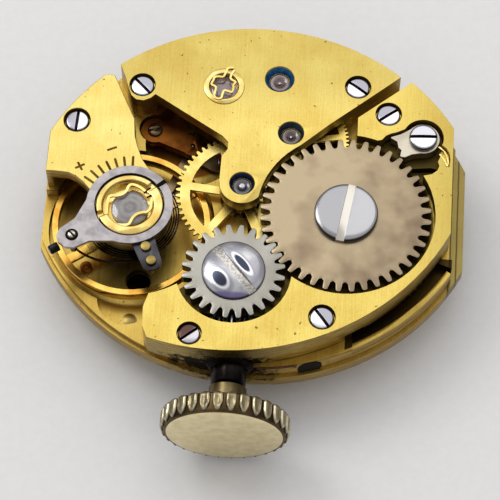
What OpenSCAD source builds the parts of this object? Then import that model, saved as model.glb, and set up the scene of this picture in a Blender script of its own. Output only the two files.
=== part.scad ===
/* [Plates] */
// Length of the main plate along the twelve to six line
plate_length = 18.0; // [17.9:0.1:18.4]
// Distance from the dial seat to the face that carries the bridges
seat_z = 1.5; // [1.48:0.01:1.52]
// Height of the bridge tops above the dial seat
top_z = 2.95; // [2.92:0.01:3.0]
// Underside of the train bridge over the wheels
slab_z = 2.34; // [2.32:0.01:2.36]
// Height of the casing flange at the dial side
flange_h = 0.65; // [0.5:0.05:0.8]

/* [Barrel] */
// Outer radius of the barrel drum
drum_r = 3.75; // [3.6:0.05:3.8]
// Teeth on the barrel
barrel_teeth = 72; // [72:1:72]
// Turns of the mainspring
spring_turns = 7; // [5:1:8]

/* [Winding wheels] */
// Teeth on the ratchet wheel
ratchet_teeth = 40; // [40:1:40]
// Teeth on the crown wheel
crown_wheel_teeth = 24; // [24:1:24]
// Thickness of the ratchet and crown wheels
wheel_t = 0.48; // [0.42:0.02:0.48]
// Head radius of the ratchet screw
ratchet_head_r = 1.34; // [1.2:0.02:1.4]
// Head radius of the crown wheel screw
crown_head_r = 1.35; // [1.2:0.01:1.4]

/* [Going train] */
// Teeth on the centre wheel
center_teeth = 60; // [60:1:60]
// Teeth on the third wheel
third_teeth = 80; // [80:1:80]
// Teeth on the fourth wheel
fourth_teeth = 70; // [70:1:70]
// Thickness of the train wheels
train_t = 0.12; // [0.1:0.01:0.12]

/* [Escapement and balance] */
// Tip radius of the escape wheel
escape_r = 2.1; // [2.06:0.02:2.12]
// Outer radius of the balance rim
rim_r = 3.37; // [3.3:0.01:3.4]
// Width of the balance rim
rim_w = 0.27; // [0.22:0.01:0.3]
// Turns of the hairspring
coil_turns = 9; // [8:1:10]

/* [Stem and crown] */
// Height of the stem axis above the dial seat
stem_z = 1.26; // [1.25:0.01:1.27]
// Outer radius of the crown over its ribs
crown_r = 2.7; // [2.5:0.05:2.9]
// Number of ribs round the crown
crown_ribs = 30; // [24:1:34]
// Height of the crown from hub side to face
crown_h = 0.9; // [0.8:0.05:1.1]

/* [Hand fitting] */
// Radius of the hour wheel pipe that carries the hour hand
hour_pipe_r = 0.65; // [0.64:0.01:0.7]
// Radius of the cannon pinion end that carries the minute hand
minute_seat_r = 0.3; // [0.29:0.01:0.3]

/* [Hidden] */
$fn = 64;
shift = 0.53;
arc_off = 2.1;
arc_r = 10.05;
left_x = shift - plate_length / 2;
right_x = shift + plate_length / 2;
gap = 0.02;
center = [0, 0];
barrel = [4.45, -1.13];
crownwheel = [-0.08, -4.07];
third = [1.92, 2.56];
fourth = [1.28, 5.18];
escape = [-1.09, 4.65];
balance = [-4.62, -1.47];
minute_c = [1.18, -1.36];
setting_c = [0, -3.1];
click_c = [7.56, 2.7];
lever_c = [-1.69, -7.07];
yoke_c = [-2.1, -5.55];
cock_foot = [-4.0, 3.2];
dial_feet = [[3.35, -6.85, -1], [-3.0, 6.6, 1]];
foot_r = 0.25;
fork_run = 1.1547 * escape_r;
toward = atan2(balance[1] - escape[1], balance[0] - escape[0]);
pallet = escape + fork_run * [cos(toward), sin(toward)];
fork_len = norm(balance - pallet);
bridge_screws_at = [[-4.6, 4.51, -45], [4.67, 5.0, -35], [-7.24, 2.6, 88],
                    [6.04, 3.75, 38], [3.69, -5.99, -52]];
head_r = 0.5;
sink_r = 0.57;
wheel_z = 2.36;
floor_z = 2.3;
click_t = 0.48;
drum_z = 0.62;
drum_top = 1.8;
cavity_z = 0.55;
center_z = 1.86;
third_z = 2.06;
fourth_z = 1.6;
escape_z = 0.62;
fork_z = 0.64;
fork_t = 0.14;
rim_z = 0.98;
rim_h = 0.52;
well_z = 0.45;
coil_z = 2.04;
ring_z = 3.11;
ring_t = 0.16;
index_z = 2.97;
index_t = 0.12;
setting_r = 1.44;
winder_n = 13;
winder_r = 1.0966;
pinion_y = [-6.5, -5.9];
clutch_y = [-5.55, -4.4];
edge_y = -7.95;
hub_y = -9.13;
crown_y = -9.95;
bank = 5;
pin_turn = 60;

function aim(a, b) = atan2(b[1] - a[1], b[0] - a[0]);
function polar(r, a) = [r * cos(a), r * sin(a)];
function part_of(x) = x - floor(x);
// Turn of a wheel that meshes with one already set
function meshed(beta, phase, n, m) =
    beta + 180 + (part_of((beta - phase) * n / 360) + 0.5) * 360 / m;
function tooth_form(w) = [[-1, -w - 0.07], [0, -w], [0.6, -0.68 * w], [1, -0.25 * w],
                          [1, 0.25 * w], [0.6, 0.68 * w], [0, w], [-1, w + 0.07]];
function gear_points(n, rp, add, ded, w, phase) =
    [for (i = [0 : n - 1]) for (q = tooth_form(w))
        polar(rp + q[0] * (q[0] > 0 ? add : ded), phase + (i + q[1]) * 360 / n)];

// Phases that keep every pair of wheels in mesh at rest
ratchet_gap = 56.1;
ratchet_phase = ratchet_gap + 180 / ratchet_teeth;
crown_phase = meshed(aim(barrel, crownwheel), ratchet_phase, ratchet_teeth, crown_wheel_teeth);
under = aim(crownwheel, [0, -6.05]);
winder_phase = (0.5 - part_of((under - crown_phase) * crown_wheel_teeth / 360)) * 360 / winder_n;
barrel_phase = aim(barrel, center);
center_pinion_phase = meshed(aim(barrel, center), barrel_phase, barrel_teeth, 12);
third_pinion_phase = meshed(aim(center, third), aim(center, third), center_teeth, 10);
fourth_pinion_phase = meshed(aim(third, fourth), aim(third, fourth), third_teeth, 8);
escape_pinion_phase = meshed(aim(fourth, escape), aim(fourth, escape), fourth_teeth, 7);
minute_phase = meshed(aim(center, minute_c), aim(center, minute_c), 12, 36);
setting_phase = meshed(aim(minute_c, setting_c), minute_phase, 36, 20);
hour_phase = meshed(aim(minute_c, center), aim(minute_c, center), 10, 40);

module at(p, z = 0) { translate([p[0], p[1], z]) children(); }

module gear(n, rp, add, ded, w, phase, t) {
    linear_extrude(t) polygon(gear_points(n, rp, add, ded, w, phase));
}

module spoked(n, rp, add, w, phase, t, rim_in, hub, arms, arm_w, bore, turn) {
    linear_extrude(t) difference() {
        polygon(gear_points(n, rp, add, add * 1.2, w, phase));
        circle(bore);
        difference() {
            circle(rim_in);
            circle(hub);
            for (i = [0 : arms - 1]) rotate(turn + i * 360 / arms)
                translate([0, -arm_w / 2]) square([rim_in + 0.1, arm_w]);
        }
    }
}

module tonneau(r, left, right) {
    intersection() {
        translate([shift, -arc_off]) circle(r, $fn = 180);
        translate([shift, arc_off]) circle(r, $fn = 180);
        translate([left, -20]) square([right - left, 40]);
    }
}

module screw(r, head, shank, len, slot, depth, turn) {
    difference() {
        union() {
            translate([0, 0, -head]) cylinder(r = r, h = head - 0.05);
            translate([0, 0, -0.05]) cylinder(r1 = r, r2 = r - 0.05, h = 0.05);
            translate([0, 0, -head - len]) cylinder(r = shank, h = len + 0.01);
        }
        rotate(turn) translate([-r - 1, -slot / 2, -depth]) cube([2 * r + 2, slot, 1]);
    }
}

module along_y(y0, y1, r0, r1) {
    translate([0, y1, stem_z]) rotate([90, 0, 0]) cylinder(r1 = r1, r2 = r0, h = y1 - y0);
}

module cavity(p, r, z) { at(p, z) cylinder(r = r, h = 3, $fn = 120); }

// Lower half of the movement that carries everything
module main_plate() {
    color("goldenrod") difference() {
        union() {
            linear_extrude(flange_h) tonneau(arc_r, left_x, right_x);
            linear_extrude(seat_z) tonneau(arc_r - 0.15, left_x + 0.08, right_x - 0.5);
        }
        translate([-12, -12, 0.95]) cube([8.38, 11.9, 2]);
        cavity(balance, rim_r + 0.18, well_z);
        at([-4.6, -4.75], 0.5) cylinder(r = 1.2, h = 2);
        at([-4.17, -3.67], -1) cylinder(r = 0.53, h = 3);
        cavity(barrel, drum_r + 0.15, cavity_z);
        cavity(barrel, 4.13, 1.12);
        cavity(center, 0.92, 1.0);
        at(center, -1) cylinder(r = 0.26, h = 4);
        cavity(escape, escape_r + 0.12, 0.5);
        cavity(pallet, 2.05, 0.5);
        at(barrel, 1.0) linear_extrude(2) polygon([[0, 0], polar(8, -84), polar(8, -50), polar(8, -19)]);
        at(barrel, -1) cylinder(r = 0.42, h = 3);
        for (p = [third, fourth]) {
            at(p, 0.2) cylinder(r = 0.15, h = 3);
        }
        for (p = [third, fourth, escape, pallet]) {
            at(p, -1) cylinder(r = 0.36, h = 1.22);
            at(p, 0.1) cylinder(r = 0.3, h = 0.4);
        }
        at(balance, -1) cylinder(r = 0.82, h = 3);
        at(cock_foot, 0.98) cylinder(r = 0.68, h = 2);
        at(cock_foot, 0.98) rotate(aim(cock_foot, pallet)) translate([0, -0.55, 0]) cube([1.5, 1.1, 2]);
        at(cock_foot, 0.5) cylinder(r = 0.16, h = 1);
        for (s = bridge_screws_at) at(s, 0.7) cylinder(r = 0.28, h = 3);
        at(center, -1) cylinder(r = 1.62, h = 1.32);
        at(minute_c, -1) cylinder(r = 1.5, h = 1.32);
        at(setting_c, -1) cylinder(r = 0.86, h = 1.68);
        translate([0, 0, -1]) linear_extrude(1.32)
            polygon([[-3.3, -5.3], [-3.3, -6.9], [-2.4, -7.55], [-0.9, -7.6], [-0.9, -9],
                     [1.75, -9], [1.75, -7.5], [1.3, -6.9],
                     [1.3, -4.3], [0.9, -3.4], [-0.9, -3.4], [-1.0, -4.45], [-2.5, -5.1]]);
        translate([-1.27, pinion_y[0] - 0.1, -1]) cube([2.54, 0.77, 4]);
        translate([-0.86, pinion_y[1], -1]) cube([1.72, 2.07, 4]);
        translate([-0.3, -7.75, 0.2]) cube([0.5, 0.95, 1]);
        along_y(edge_y - 1, pinion_y[0], 0.5, 0.5);
        along_y(edge_y - 1, edge_y + 0.42, 0.95, 0.95);
        along_y(-4, -3.2, 0.19, 0.19);
        at(lever_c, -1) cylinder(r = 0.28, h = 4);
        for (f = dial_feet) {
            at(f, -1) cylinder(r = foot_r, h = 2.2);
            at(f, 0.93) rotate([-90 * f[2], 0, 0]) cylinder(r = 0.24, h = 2);
        }
    }
    color("goldenrod") for (q = [[minute_c, 0.12, 0.31], [setting_c, 0.17, 0.67], [yoke_c, 0.17, 0.31]])
        at(q[0], 0.02) cylinder(r = q[1], h = q[2]);
}

// Bridge over the barrel and the winding wheels
module barrel_bridge() {
    color("gold") difference() {
        translate([0, 0, seat_z]) linear_extrude(top_z - seat_z) intersection() {
            union() {
                intersection() {
                    translate([-0.59, 2.71]) circle(10.46, $fn = 180);
                    translate([-10, -12]) square([18.85, 12]);
                }
                tonneau(arc_r - 0.17, 0, 8.85);
            }
            translate([-0.59, 2.71]) circle(10.46, $fn = 180);
            union() {
                polygon([[6.94, 5.35], [4.74, 3.49], [4.75, 2.5], barrel, crownwheel,
                         [-3.45, -5.2], [-3.68, -6.0], [-3.64, -6.85], [-3.4, -7.4], [-3.4, -9],
                         [12, -9], [12, 9], [7.8, 6.08]]);
                translate(barrel) circle(3.75, $fn = 120);
                translate(crownwheel) circle(2.42, $fn = 120);
            }
        }
        at(balance, 0) cylinder(r = 4.07, h = 5, $fn = 120);
        at(center, 0) cylinder(r = 2.96, h = 5, $fn = 120);
        at(third, 0) cylinder(r = 2.62, h = floor_z + 0.01, $fn = 120);
        at(barrel, floor_z) cylinder(r = 3.75, h = 2, $fn = 120);
        at(crownwheel, floor_z) cylinder(r = 2.42, h = 2, $fn = 120);
        at(barrel, 0) cylinder(r = 4.13, h = drum_top + 0.08, $fn = 120);
        at(barrel, 0) linear_extrude(drum_top + 0.08) polygon([[0, 0], polar(9, -84), polar(9, -50), polar(9, -19)]);
        at(barrel, 0) cylinder(r = 0.72, h = 5);
        at(click_c, floor_z) cylinder(r = 0.87, h = 2);
        translate([0, 0, floor_z]) linear_extrude(2)
            polygon([[5.2, 2.3], [5.8, 2.48], [5.98, 2.7], [6.18, 2.81], [6.44, 2.9], [6.7, 3.03],
                     [6.95, 3.2], [7.6, 2.8],
                     [8.34, 2.29], [8.33, 2.0], [8.29, 1.76], [8.21, 1.58], [8.28, 1.37], [8.2, 1.15],
                     [7.98, 0.96], [7.65, 0.87], [7.2, 0.86], [6.5, 0.6], [5.6, 1.6]]);
        translate([0, 0, 1.9]) linear_extrude(2)
            polygon([[7.1, 1.5], [7.95, 1.6], [8.18, 1.55], [8.26, 1.37], [8.18, 1.17], [7.96, 0.98],
                     [7.65, 0.89], [7.0, 0.88]]);
        translate([0, 0, 2.58]) linear_extrude(2)
            polygon([[8.15, 2.46], [8.31, 2.42], [8.54, 2.26], [8.7, 2.0], [8.74, 1.7], [8.7, 1.34],
                     [8.57, 1.34], [8.44, 1.7], [8.26, 1.95], [8.1, 2.1]]);
        at(click_c, 0) cylinder(r = 0.22, h = 5);
        translate([-1.27, pinion_y[0] - 0.1, 0]) cube([2.54, 0.77, floor_z + 0.01]);
        translate([-0.6, pinion_y[0] - 0.08, 2]) cube([1.2, 0.5, 0.54]);
        translate([-0.86, pinion_y[1], 0]) cube([1.72, 2.07, stem_z + 0.85]);
        along_y(edge_y - 1, pinion_y[0], 0.5, 0.5);
        along_y(edge_y - 1, edge_y + 0.42, 0.95, 0.95);
        at(crownwheel, 0) cylinder(r = 0.3, h = 5);
        for (i = [3, 4]) {
            at(bridge_screws_at[i], 0) cylinder(r = 0.31, h = 5);
            at(bridge_screws_at[i], top_z - 0.42) cylinder(r = sink_r, h = 2);
        }
        at(lever_c, 0) cylinder(r = 0.28, h = 5);
        at(lever_c, top_z - 0.4) cylinder(r = 0.52, h = 2);
    }
}

// Bridge over the train wheels with its nose above the centre
module train_bridge() {
    color("gold") difference() {
        translate([0, 0, seat_z]) linear_extrude(top_z - seat_z) difference() {
            union() {
                intersection() {
                    tonneau(arc_r - 0.3, -7, 9);
                    polygon([[-6.0, 6.35], [-5.62, 5.46], [-5.38, 4.9], [-5.17, 4.31], [-5.03, 3.96],
                             [-4.81, 3.77], [-4.49, 3.74], [-4.2, 3.88], [-4.0, 4.08], [-0.98, 2.22],
                             [-0.72, 1.95], [-0.72, 1.6], [-0.95, 1.25], [-0.97, 0], [0.9, 0],
                             [2.25, 1.87], [3.53, 3.07], [4.9, 4.24], [6.5, 5.62], [7.2, 6.3],
                             [7, 9], [-6.5, 9]]);
                }
                circle(0.95);
            }
            translate(barrel) circle(3.75, $fn = 120);
        }
        translate([0, 0, 0]) linear_extrude(slab_z) difference() {
            translate([-12, -3]) square([24, 12]);
            translate([-5.65, 3.5]) square([1.68, 3.2]);
            translate([3.95, 3.9]) square([4, 4]);
        }
        at(center, 0) cylinder(r = 0.38, h = 5);
        at(third, 0) cylinder(r = 0.38, h = 5);
        at(fourth, 0) cylinder(r = 0.42, h = 5);
        at(escape, 0) cylinder(r = 0.88, h = 5);
        at(center, 2.67) cylinder(r1 = 0.4, r2 = 0.55, h = top_z - 2.66);
        at(third, 2.67) cylinder(r1 = 0.42, r2 = 0.57, h = top_z - 2.66);
        at(fourth, 2.67) cylinder(r1 = 0.46, r2 = 0.65, h = top_z - 2.66);
        for (i = [0, 1]) {
            at(bridge_screws_at[i], 0) cylinder(r = 0.31, h = 5);
            at(bridge_screws_at[i], top_z - 0.42) cylinder(r = sink_r, h = 2);
        }
    }
}

// Cock that reaches over the balance
module balance_cock() {
    color("gold") difference() {
        translate([0, 0, seat_z]) linear_extrude(top_z - seat_z) union() {
            intersection() {
                tonneau(arc_r - 0.3, left_x + 0.14, 2);
                polygon([[-9, 0.06], [-7.97, 0.07], [-7.35, 0.03], [-7.01, -0.13], [-6.66, -0.4],
                         [-6.35, -0.76], [-4.62, -1.47], [-3.2, -0.6], [-4.08, 0.58], [-4.28, 0.85],
                         [-4.54, 1.46], [-4.7, 1.97], [-4.79, 2.81], [-5.23, 3.68], [-5.82, 4.91],
                         [-6.05, 4.94], [-9, 4.94]]);
            }
            translate(balance) circle(1.72);
        }
        at(balance, 0) cylinder(r = 3.78, h = slab_z, $fn = 120);
        at(balance, 0) cylinder(r = setting_r, h = 5);
        at(bridge_screws_at[2], 0) cylinder(r = 0.31, h = 5);
        at(bridge_screws_at[2], top_z - 0.42) cylinder(r = sink_r, h = 2);
    }
}

// Small cock over the pallet fork
module pallet_cock() {
    color("khaki") translate([0, 0, 0.98]) difference() {
        linear_extrude(0.36) {
            translate(cock_foot) circle(0.6);
            translate(pallet) circle(0.5);
            translate(cock_foot) rotate(aim(cock_foot, pallet)) translate([0, -0.45])
                square([norm(cock_foot - pallet), 0.9]);
        }
        at(cock_foot, -1) cylinder(r = 0.16, h = 3);
        at(pallet, -1) cylinder(r = 0.1, h = 3);
    }
}

module bridge_screws() {
    color("silver") for (s = bridge_screws_at)
        at(s, top_z - 0.06) screw(head_r, 0.36, 0.28, 1.75, 0.13, 0.16, s[2]);
}

module small_screws() {
    color("silver") at(cock_foot, 1.46) screw(0.32, 0.12, 0.15, 0.6, 0.08, 0.06, 20);
    color("silver") for (f = dial_feet) at([f[0], f[1] + 0.47 * f[2]], 0.93) rotate([-90 * f[2], 0, 0])
        screw(0.22, 0.16, 0.18, 0.04, 0.08, 0.08, 0);
}

module crown_wheel_core() {
    color("dimgray") at(crownwheel, floor_z) difference() {
        cylinder(r = 1.02, h = wheel_z + wheel_t - floor_z + 0.03);
        translate([0, 0, -1]) cylinder(r = 0.3, h = 3);
    }
}

module crown_wheel_screw() {
    color("silver") at(crownwheel, wheel_z + wheel_t + 0.03) difference() {
        union() {
            cylinder(r = crown_head_r, h = 0.1);
            translate([0, 0, 0.1]) cylinder(r1 = crown_head_r, r2 = crown_head_r - 0.14, h = 0.1);
            translate([0, 0, 0.2]) cylinder(r1 = crown_head_r - 0.14, r2 = 0.7, h = 0.07);
            translate([0, 0, -0.8]) cylinder(r = 0.28, h = 0.9);
        }
        rotate(-48) translate([-2, -0.2, 0.12]) cube([4, 0.4, 1]);
    }
}

module click_screw() {
    color("silver") at(click_c, wheel_z + click_t + 0.22) screw(0.6, 0.2, 0.21, 1.1, 0.15, 0.13, 3);
}

module click_spring() {
    color("goldenrod") translate([0, 0, 2.62]) linear_extrude(0.16) {
        polygon([[8.23, 2.43], [8.31, 2.39], [8.51, 2.23], [8.66, 1.99], [8.7, 1.7], [8.67, 1.4],
                 [8.61, 1.4], [8.62, 1.7], [8.58, 1.95], [8.45, 2.17], [8.29, 2.3], [8.23, 2.34]]);
        polygon([[8.66, 1.4], [8.58, 1.68], [8.47, 1.89], [8.3, 2.08], [8.26, 2.02], [8.41, 1.83],
                 [8.52, 1.63], [8.61, 1.38]]);
    }
}

module hole_jewel(r, h, bore) {
    difference() {
        cylinder(r = r, h = h);
        translate([0, 0, -1]) cylinder(r = bore, h = 3);
    }
}

module train_jewels() {
    color("mediumvioletred") at(center, slab_z + 0.02) hole_jewel(0.38, 0.26, 0.14);
    color("mediumvioletred") at(third, slab_z + 0.02) hole_jewel(0.38, 0.26, 0.08);
    color("mediumvioletred") at(fourth, slab_z + 0.02) hole_jewel(0.42, 0.26, 0.08);
}

module lower_jewels() {
    color("mediumvioletred") for (p = [third, fourth, escape, pallet])
        at(p, 0.22) hole_jewel(0.3, 0.28, 0.07);
}

module cap_jewels() {
    color("lavender") at(escape, 2.64) cylinder(r1 = 0.5, r2 = 0.36, h = 0.15);
    color("lavender") at(balance, 2.78) cylinder(r1 = 0.75, r2 = 0.75, h = 0.1);
    color("lavender") at(balance, 2.88) cylinder(r1 = 0.75, r2 = 0.5, h = 0.1);
}

module escape_cap_setting() {
    color("gold") at(escape, slab_z) difference() {
        cylinder(r = 0.88, h = 0.66);
        translate([0, 0, 0.28]) cylinder(r = 0.64, h = 1);
        translate([0, 0, -1]) cylinder(r = 0.09, h = 3);
    }
}

module cap_spring(r, n, t) {
    linear_extrude(t) difference() {
        circle(r);
        circle(r * 0.84);
    }
    linear_extrude(t) for (i = [0 : n - 1]) rotate(i * 360 / n + 20) difference() {
        translate([r * 0.5, -r * 0.26]) square([r * 0.42, r * 0.52]);
        translate([r * 0.6, -r * 0.15]) square([r * 0.5, r * 0.3]);
    }
}

module cap_springs() {
    color("gold") at(escape, 2.81) cap_spring(0.62, 3, 0.08);
    color("gold") at(balance, 3.0) rotate(75) cap_spring(1.12, 2, 0.1);
}

module balance_upper_setting() {
    color("gold") at(balance, slab_z) difference() {
        cylinder(r = setting_r, h = 0.9);
        translate([0, 0, 0.42]) cylinder(r = 1.14, h = 1);
        translate([0, 0, -1]) cylinder(r = 0.1, h = 3);
    }
}

module balance_lower_setting() {
    color("gold") at(balance, 0.06) difference() {
        cylinder(r = 0.82, h = 0.38);
        translate([0, 0, 0.1]) cylinder(r = 0.1, h = 3);
    }
}

module banking_pins() {
    color("gold") at(pallet, 0.5) rotate(toward) for (s = [-1, 1])
        translate([2.35, s * 0.5, 0]) cylinder(r = 0.1, h = 0.42);
}

module setting_lever_screw() {
    color("sienna") at(lever_c, top_z - 0.04) screw(0.45, 0.32, 0.26, 2.5, 0.12, 0.16, 40);
}

// Plate at the dial side that covers the keyless work, with its two springs
module cover_plate() {
    color("silver") translate([0, 0, 0.02]) linear_extrude(0.06) difference() {
        polygon([[-3.2, -5.5], [-3.2, -6.85], [-2.35, -7.45], [-1.1, -7.45], [-1.1, -6.7],
                 [-0.5, -6.6], [-0.5, -6.4], [-1.2, -6.45], [-1.25, -5.2], [-2.45, -5.2]]);
        translate(lever_c) circle(0.3);
        translate(yoke_c) circle(0.25);
    }
}

// Drum with its toothed rim
module barrel_drum() {
    color("gold") at(barrel, 0) difference() {
        union() {
            translate([0, 0, drum_z + 0.14]) cylinder(r = drum_r, h = drum_top - drum_z - 0.14, $fn = 120);
            translate([0, 0, 1.25]) gear(barrel_teeth, 3.934, 0.096, 0.13, 0.23, barrel_phase, 0.25);
        }
        translate([0, 0, drum_z]) cylinder(r = drum_r - 0.2, h = drum_top - drum_z - 0.14, $fn = 120);
        translate([0, 0, -1]) cylinder(r = 0.62, h = 5);
    }
}

module barrel_cover() {
    color("gold") at(barrel, drum_z) difference() {
        cylinder(r = drum_r, h = 0.14, $fn = 120);
        translate([0, 0, -1]) cylinder(r = 0.42, h = 5);
    }
}

function spiral(r0, r1, turns, w, a0, k) = [for (i = [0 : k * turns])
    polar(r0 + (r1 - r0) * i / (k * turns) + w, a0 - i * 360 / k)];

module ribbon(r0, r1, turns, w, a0, k) {
    outer = spiral(r0, r1, turns, w / 2, a0, k);
    inner = spiral(r0, r1, turns, -w / 2, a0, k);
    polygon(concat(outer, [for (i = [len(inner) - 1 : -1 : 0]) inner[i]]));
}

module mainspring() {
    color("slategray") at(barrel, 0.82) linear_extrude(0.78)
        ribbon(1.02, drum_r - 0.28, spring_turns, 0.1, 0, 30);
}

module barrel_arbor() {
    color("silver") at(barrel, 0) difference() {
        union() {
            translate([0, 0, 0.14]) cylinder(r = 0.4, h = 0.72);
            translate([0, 0, 0.8]) cylinder(r = 0.92, h = 0.82);
            translate([0, 0, 1.6]) cylinder(r = 0.6, h = floor_z - 1.58);
            translate([-0.4, -0.4, floor_z]) cube([0.8, 0.8, wheel_t + 0.04]);
        }
        translate([0, 0, 1.7]) cylinder(r = 0.24, h = 3);
    }
}

module ratchet_wheel() {
    color("silver") at(barrel, wheel_z) difference() {
        gear(ratchet_teeth, 3.375, 0.225, 0.2, 0.21, ratchet_phase, wheel_t);
        translate([-0.42, -0.42, -1]) cube([0.84, 0.84, 3]);
    }
}

module ratchet_screw() {
    color("silver") at(barrel, wheel_z + wheel_t + 0.3) screw(ratchet_head_r, 0.28, 0.22, 0.85, 0.34, 0.12, 81);
}

module crown_wheel() {
    color("silver") at(crownwheel, wheel_z) difference() {
        gear(crown_wheel_teeth, 2.025, 0.135, 0.27, 0.2, crown_phase, wheel_t);
        translate([0, 0, -1]) cylinder(r = 1.05, h = 3);
    }
}

// Pawl that holds the ratchet wheel
module click() {
    color("silver") at(click_c, wheel_z) difference() {
        linear_extrude(click_t) {
            circle(0.71);
            polygon([[-0.3, 0.62], [-0.82, 0.27], [-1.0, 0.16], [-1.36, 0.02], [-1.4, -0.04],
                     [-1.1, -0.21], [-1.04, -0.5], [-0.91, -0.61], [-0.96, -0.88], [-0.9, -0.94],
                     [-0.74, -0.95], [-0.45, -0.79], [0.0, -0.69]]);
        }
        translate([0, 0, -1]) cylinder(r = 0.24, h = 3);
    }
}

module center_wheel() {
    color("gold") at(center, center_z)
        spoked(center_teeth, 2.743, 0.085, 0.23, aim(center, third), train_t, 2.22, 0.75, 6, 0.36, 0.3, 54);
}

module center_pinion() {
    color("silver") at(center, 0) union() {
        translate([0, 0, 1.1]) gear(12, 0.656, 0.09, 0.13, 0.2, center_pinion_phase, 0.6);
        translate([0, 0, 1.7]) cylinder(r = 0.45, h = center_z - 1.7);
        translate([0, 0, center_z]) cylinder(r = 0.29, h = train_t + 0.2);
        translate([0, 0, -1.78]) cylinder(r = 0.14, h = 1.4);
        translate([0, 0, -0.4]) cylinder(r = 0.22, h = 1.51);
        translate([0, 0, center_z + 0.3]) cylinder(r = 0.12, h = 0.56);
    }
}

module cannon_pinion() {
    color("silver") at(center, 0) difference() {
        union() {
            translate([0, 0, 0.15]) gear(12, 0.45, 0.06, 0.09, 0.2, aim(center, minute_c), 0.15);
            translate([0, 0, -1.25]) cylinder(r = 0.46, h = 1.401);
            translate([0, 0, -1.8]) cylinder(r = minute_seat_r, h = 1);
        }
        translate([0, 0, -2]) cylinder(r = 0.15, h = 2);
        translate([0, 0, -0.42]) cylinder(r = 0.235, h = 2);
    }
}

module third_wheel() {
    color("gold") at(third, third_z)
        spoked(third_teeth, 2.452, 0.058, 0.23, aim(third, fourth), train_t, 2.12, 0.45, 5, 0.26, 0.2, 10);
}

module arbor(p, z0, z1, pivot_low, pivot_high, r) {
    at(p, z0) cylinder(r = r, h = z1 - z0);
    at(p, pivot_low) cylinder(r = 0.05, h = z0 - pivot_low + 0.01);
    at(p, z1 - 0.01) cylinder(r = 0.05, h = pivot_high - z1 + 0.01);
}

module third_pinion() {
    color("silver") union() {
        at(third, 1.76) gear(10, 0.457, 0.075, 0.1, 0.2, third_pinion_phase, 0.3);
        arbor(third, 0.53, 2.32, 0.24, 2.58, 0.11);
        at(third, third_z) cylinder(r = 0.19, h = train_t);
    }
}

module fourth_wheel() {
    color("gold") at(fourth, fourth_z)
        spoked(fourth_teeth, 2.209, 0.055, 0.23, aim(fourth, escape), 0.1, 1.9, 0.4, 5, 0.24, 0.18, 0);
}

module fourth_pinion() {
    color("silver") union() {
        at(fourth, 1.98) gear(8, 0.245, 0.05, 0.065, 0.2, fourth_pinion_phase, 0.3);
        arbor(fourth, 0.53, 2.31, 0.24, 2.58, 0.1);
        at(fourth, fourth_z) cylinder(r = 0.17, h = 0.1);
    }
}

function club(i) = let (a = i * 24) [polar(1.74, a - 15), polar(1.72, a + 2.6), polar(escape_r - 0.04, a),
    polar(escape_r, a + 2.6), polar(1.76, a + 6.5)];

// Wheel with fifteen club teeth
module escape_wheel() {
    color("silver") at(escape, escape_z) linear_extrude(0.14) difference() {
        rotate(toward - 27.6) polygon([for (i = [0 : 14]) each club(i)]);
        circle(0.14);
        difference() {
            circle(1.52);
            circle(0.42);
            for (i = [0 : 3]) rotate(i * 90 + 20) translate([0, -0.12]) square([1.7, 0.24]);
        }
    }
}

module escape_pinion() {
    color("silver") union() {
        at(escape, 1.5) gear(7, 0.221, 0.05, 0.06, 0.2, escape_pinion_phase, 0.3);
        arbor(escape, 0.53, 2.3, 0.24, 2.6, 0.1);
        at(escape, escape_z) cylinder(r = 0.13, h = 0.14);
    }
}

// Position of one pallet stone in the frame of the fork
module stone_place(s) {
    translate([-fork_run + escape_r * cos(30), s * escape_r * sin(30)]) rotate(s * 30) children();
}

module pallet_fork() {
    color("silver") at(pallet, fork_z) rotate(toward + bank) linear_extrude(fork_t) difference() {
        union() {
            polygon([[0, -0.26], [3.4, -0.13], [3.42, -0.36], [3.78, -0.42], [3.78, 0.42],
                     [3.42, 0.36], [3.4, 0.13], [0, 0.26]]);
            polygon([[0.36, 0.2], [0.42, 1.1], [0.22, 1.6], [-0.12, 1.72], [-0.5, 1.5], [-0.42, 0.9],
                     [-0.2, 0.3], [-0.2, -0.3], [-0.42, -0.9], [-0.5, -1.5], [-0.12, -1.72],
                     [0.22, -1.6], [0.42, -1.1], [0.36, -0.2]]);
        }
        circle(0.1);
        translate([3.52, -0.13]) square([1, 0.26]);
        translate([-fork_run, 0]) circle(escape_r + 0.17, $fn = 120);
        for (s = [-1, 1]) stone_place(s) translate([-0.01, -0.13]) square([0.72, 0.26]);
    }
}

module pallet_stones() {
    color("crimson") at(pallet, fork_z - 0.03) rotate(toward + bank) linear_extrude(fork_t + 0.06)
        for (s = [-1, 1]) stone_place(s) translate([-0.005, -0.13]) square([0.71, 0.26]);
}

module pallet_arbor() {
    color("silver") arbor(pallet, 0.53, 0.95, 0.24, 1.3, 0.1);
}

// Balance with a plain rim and two arms
module balance_wheel() {
    color("goldenrod") at(balance, 0) difference() {
        union() {
            difference() {
                translate([0, 0, rim_z]) cylinder(r = rim_r, h = rim_h, $fn = 120);
                translate([0, 0, rim_z - 1]) cylinder(r = rim_r - rim_w, h = 4, $fn = 120);
            }
            translate([0, 0, 1.16]) linear_extrude(0.14) {
                circle(0.55);
                rotate(35) translate([-rim_r + 0.1, -0.22]) square([2 * rim_r - 0.2, 0.44]);
            }
        }
        translate([0, 0, -1]) cylinder(r = 0.2, h = 5);
    }
}

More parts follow.
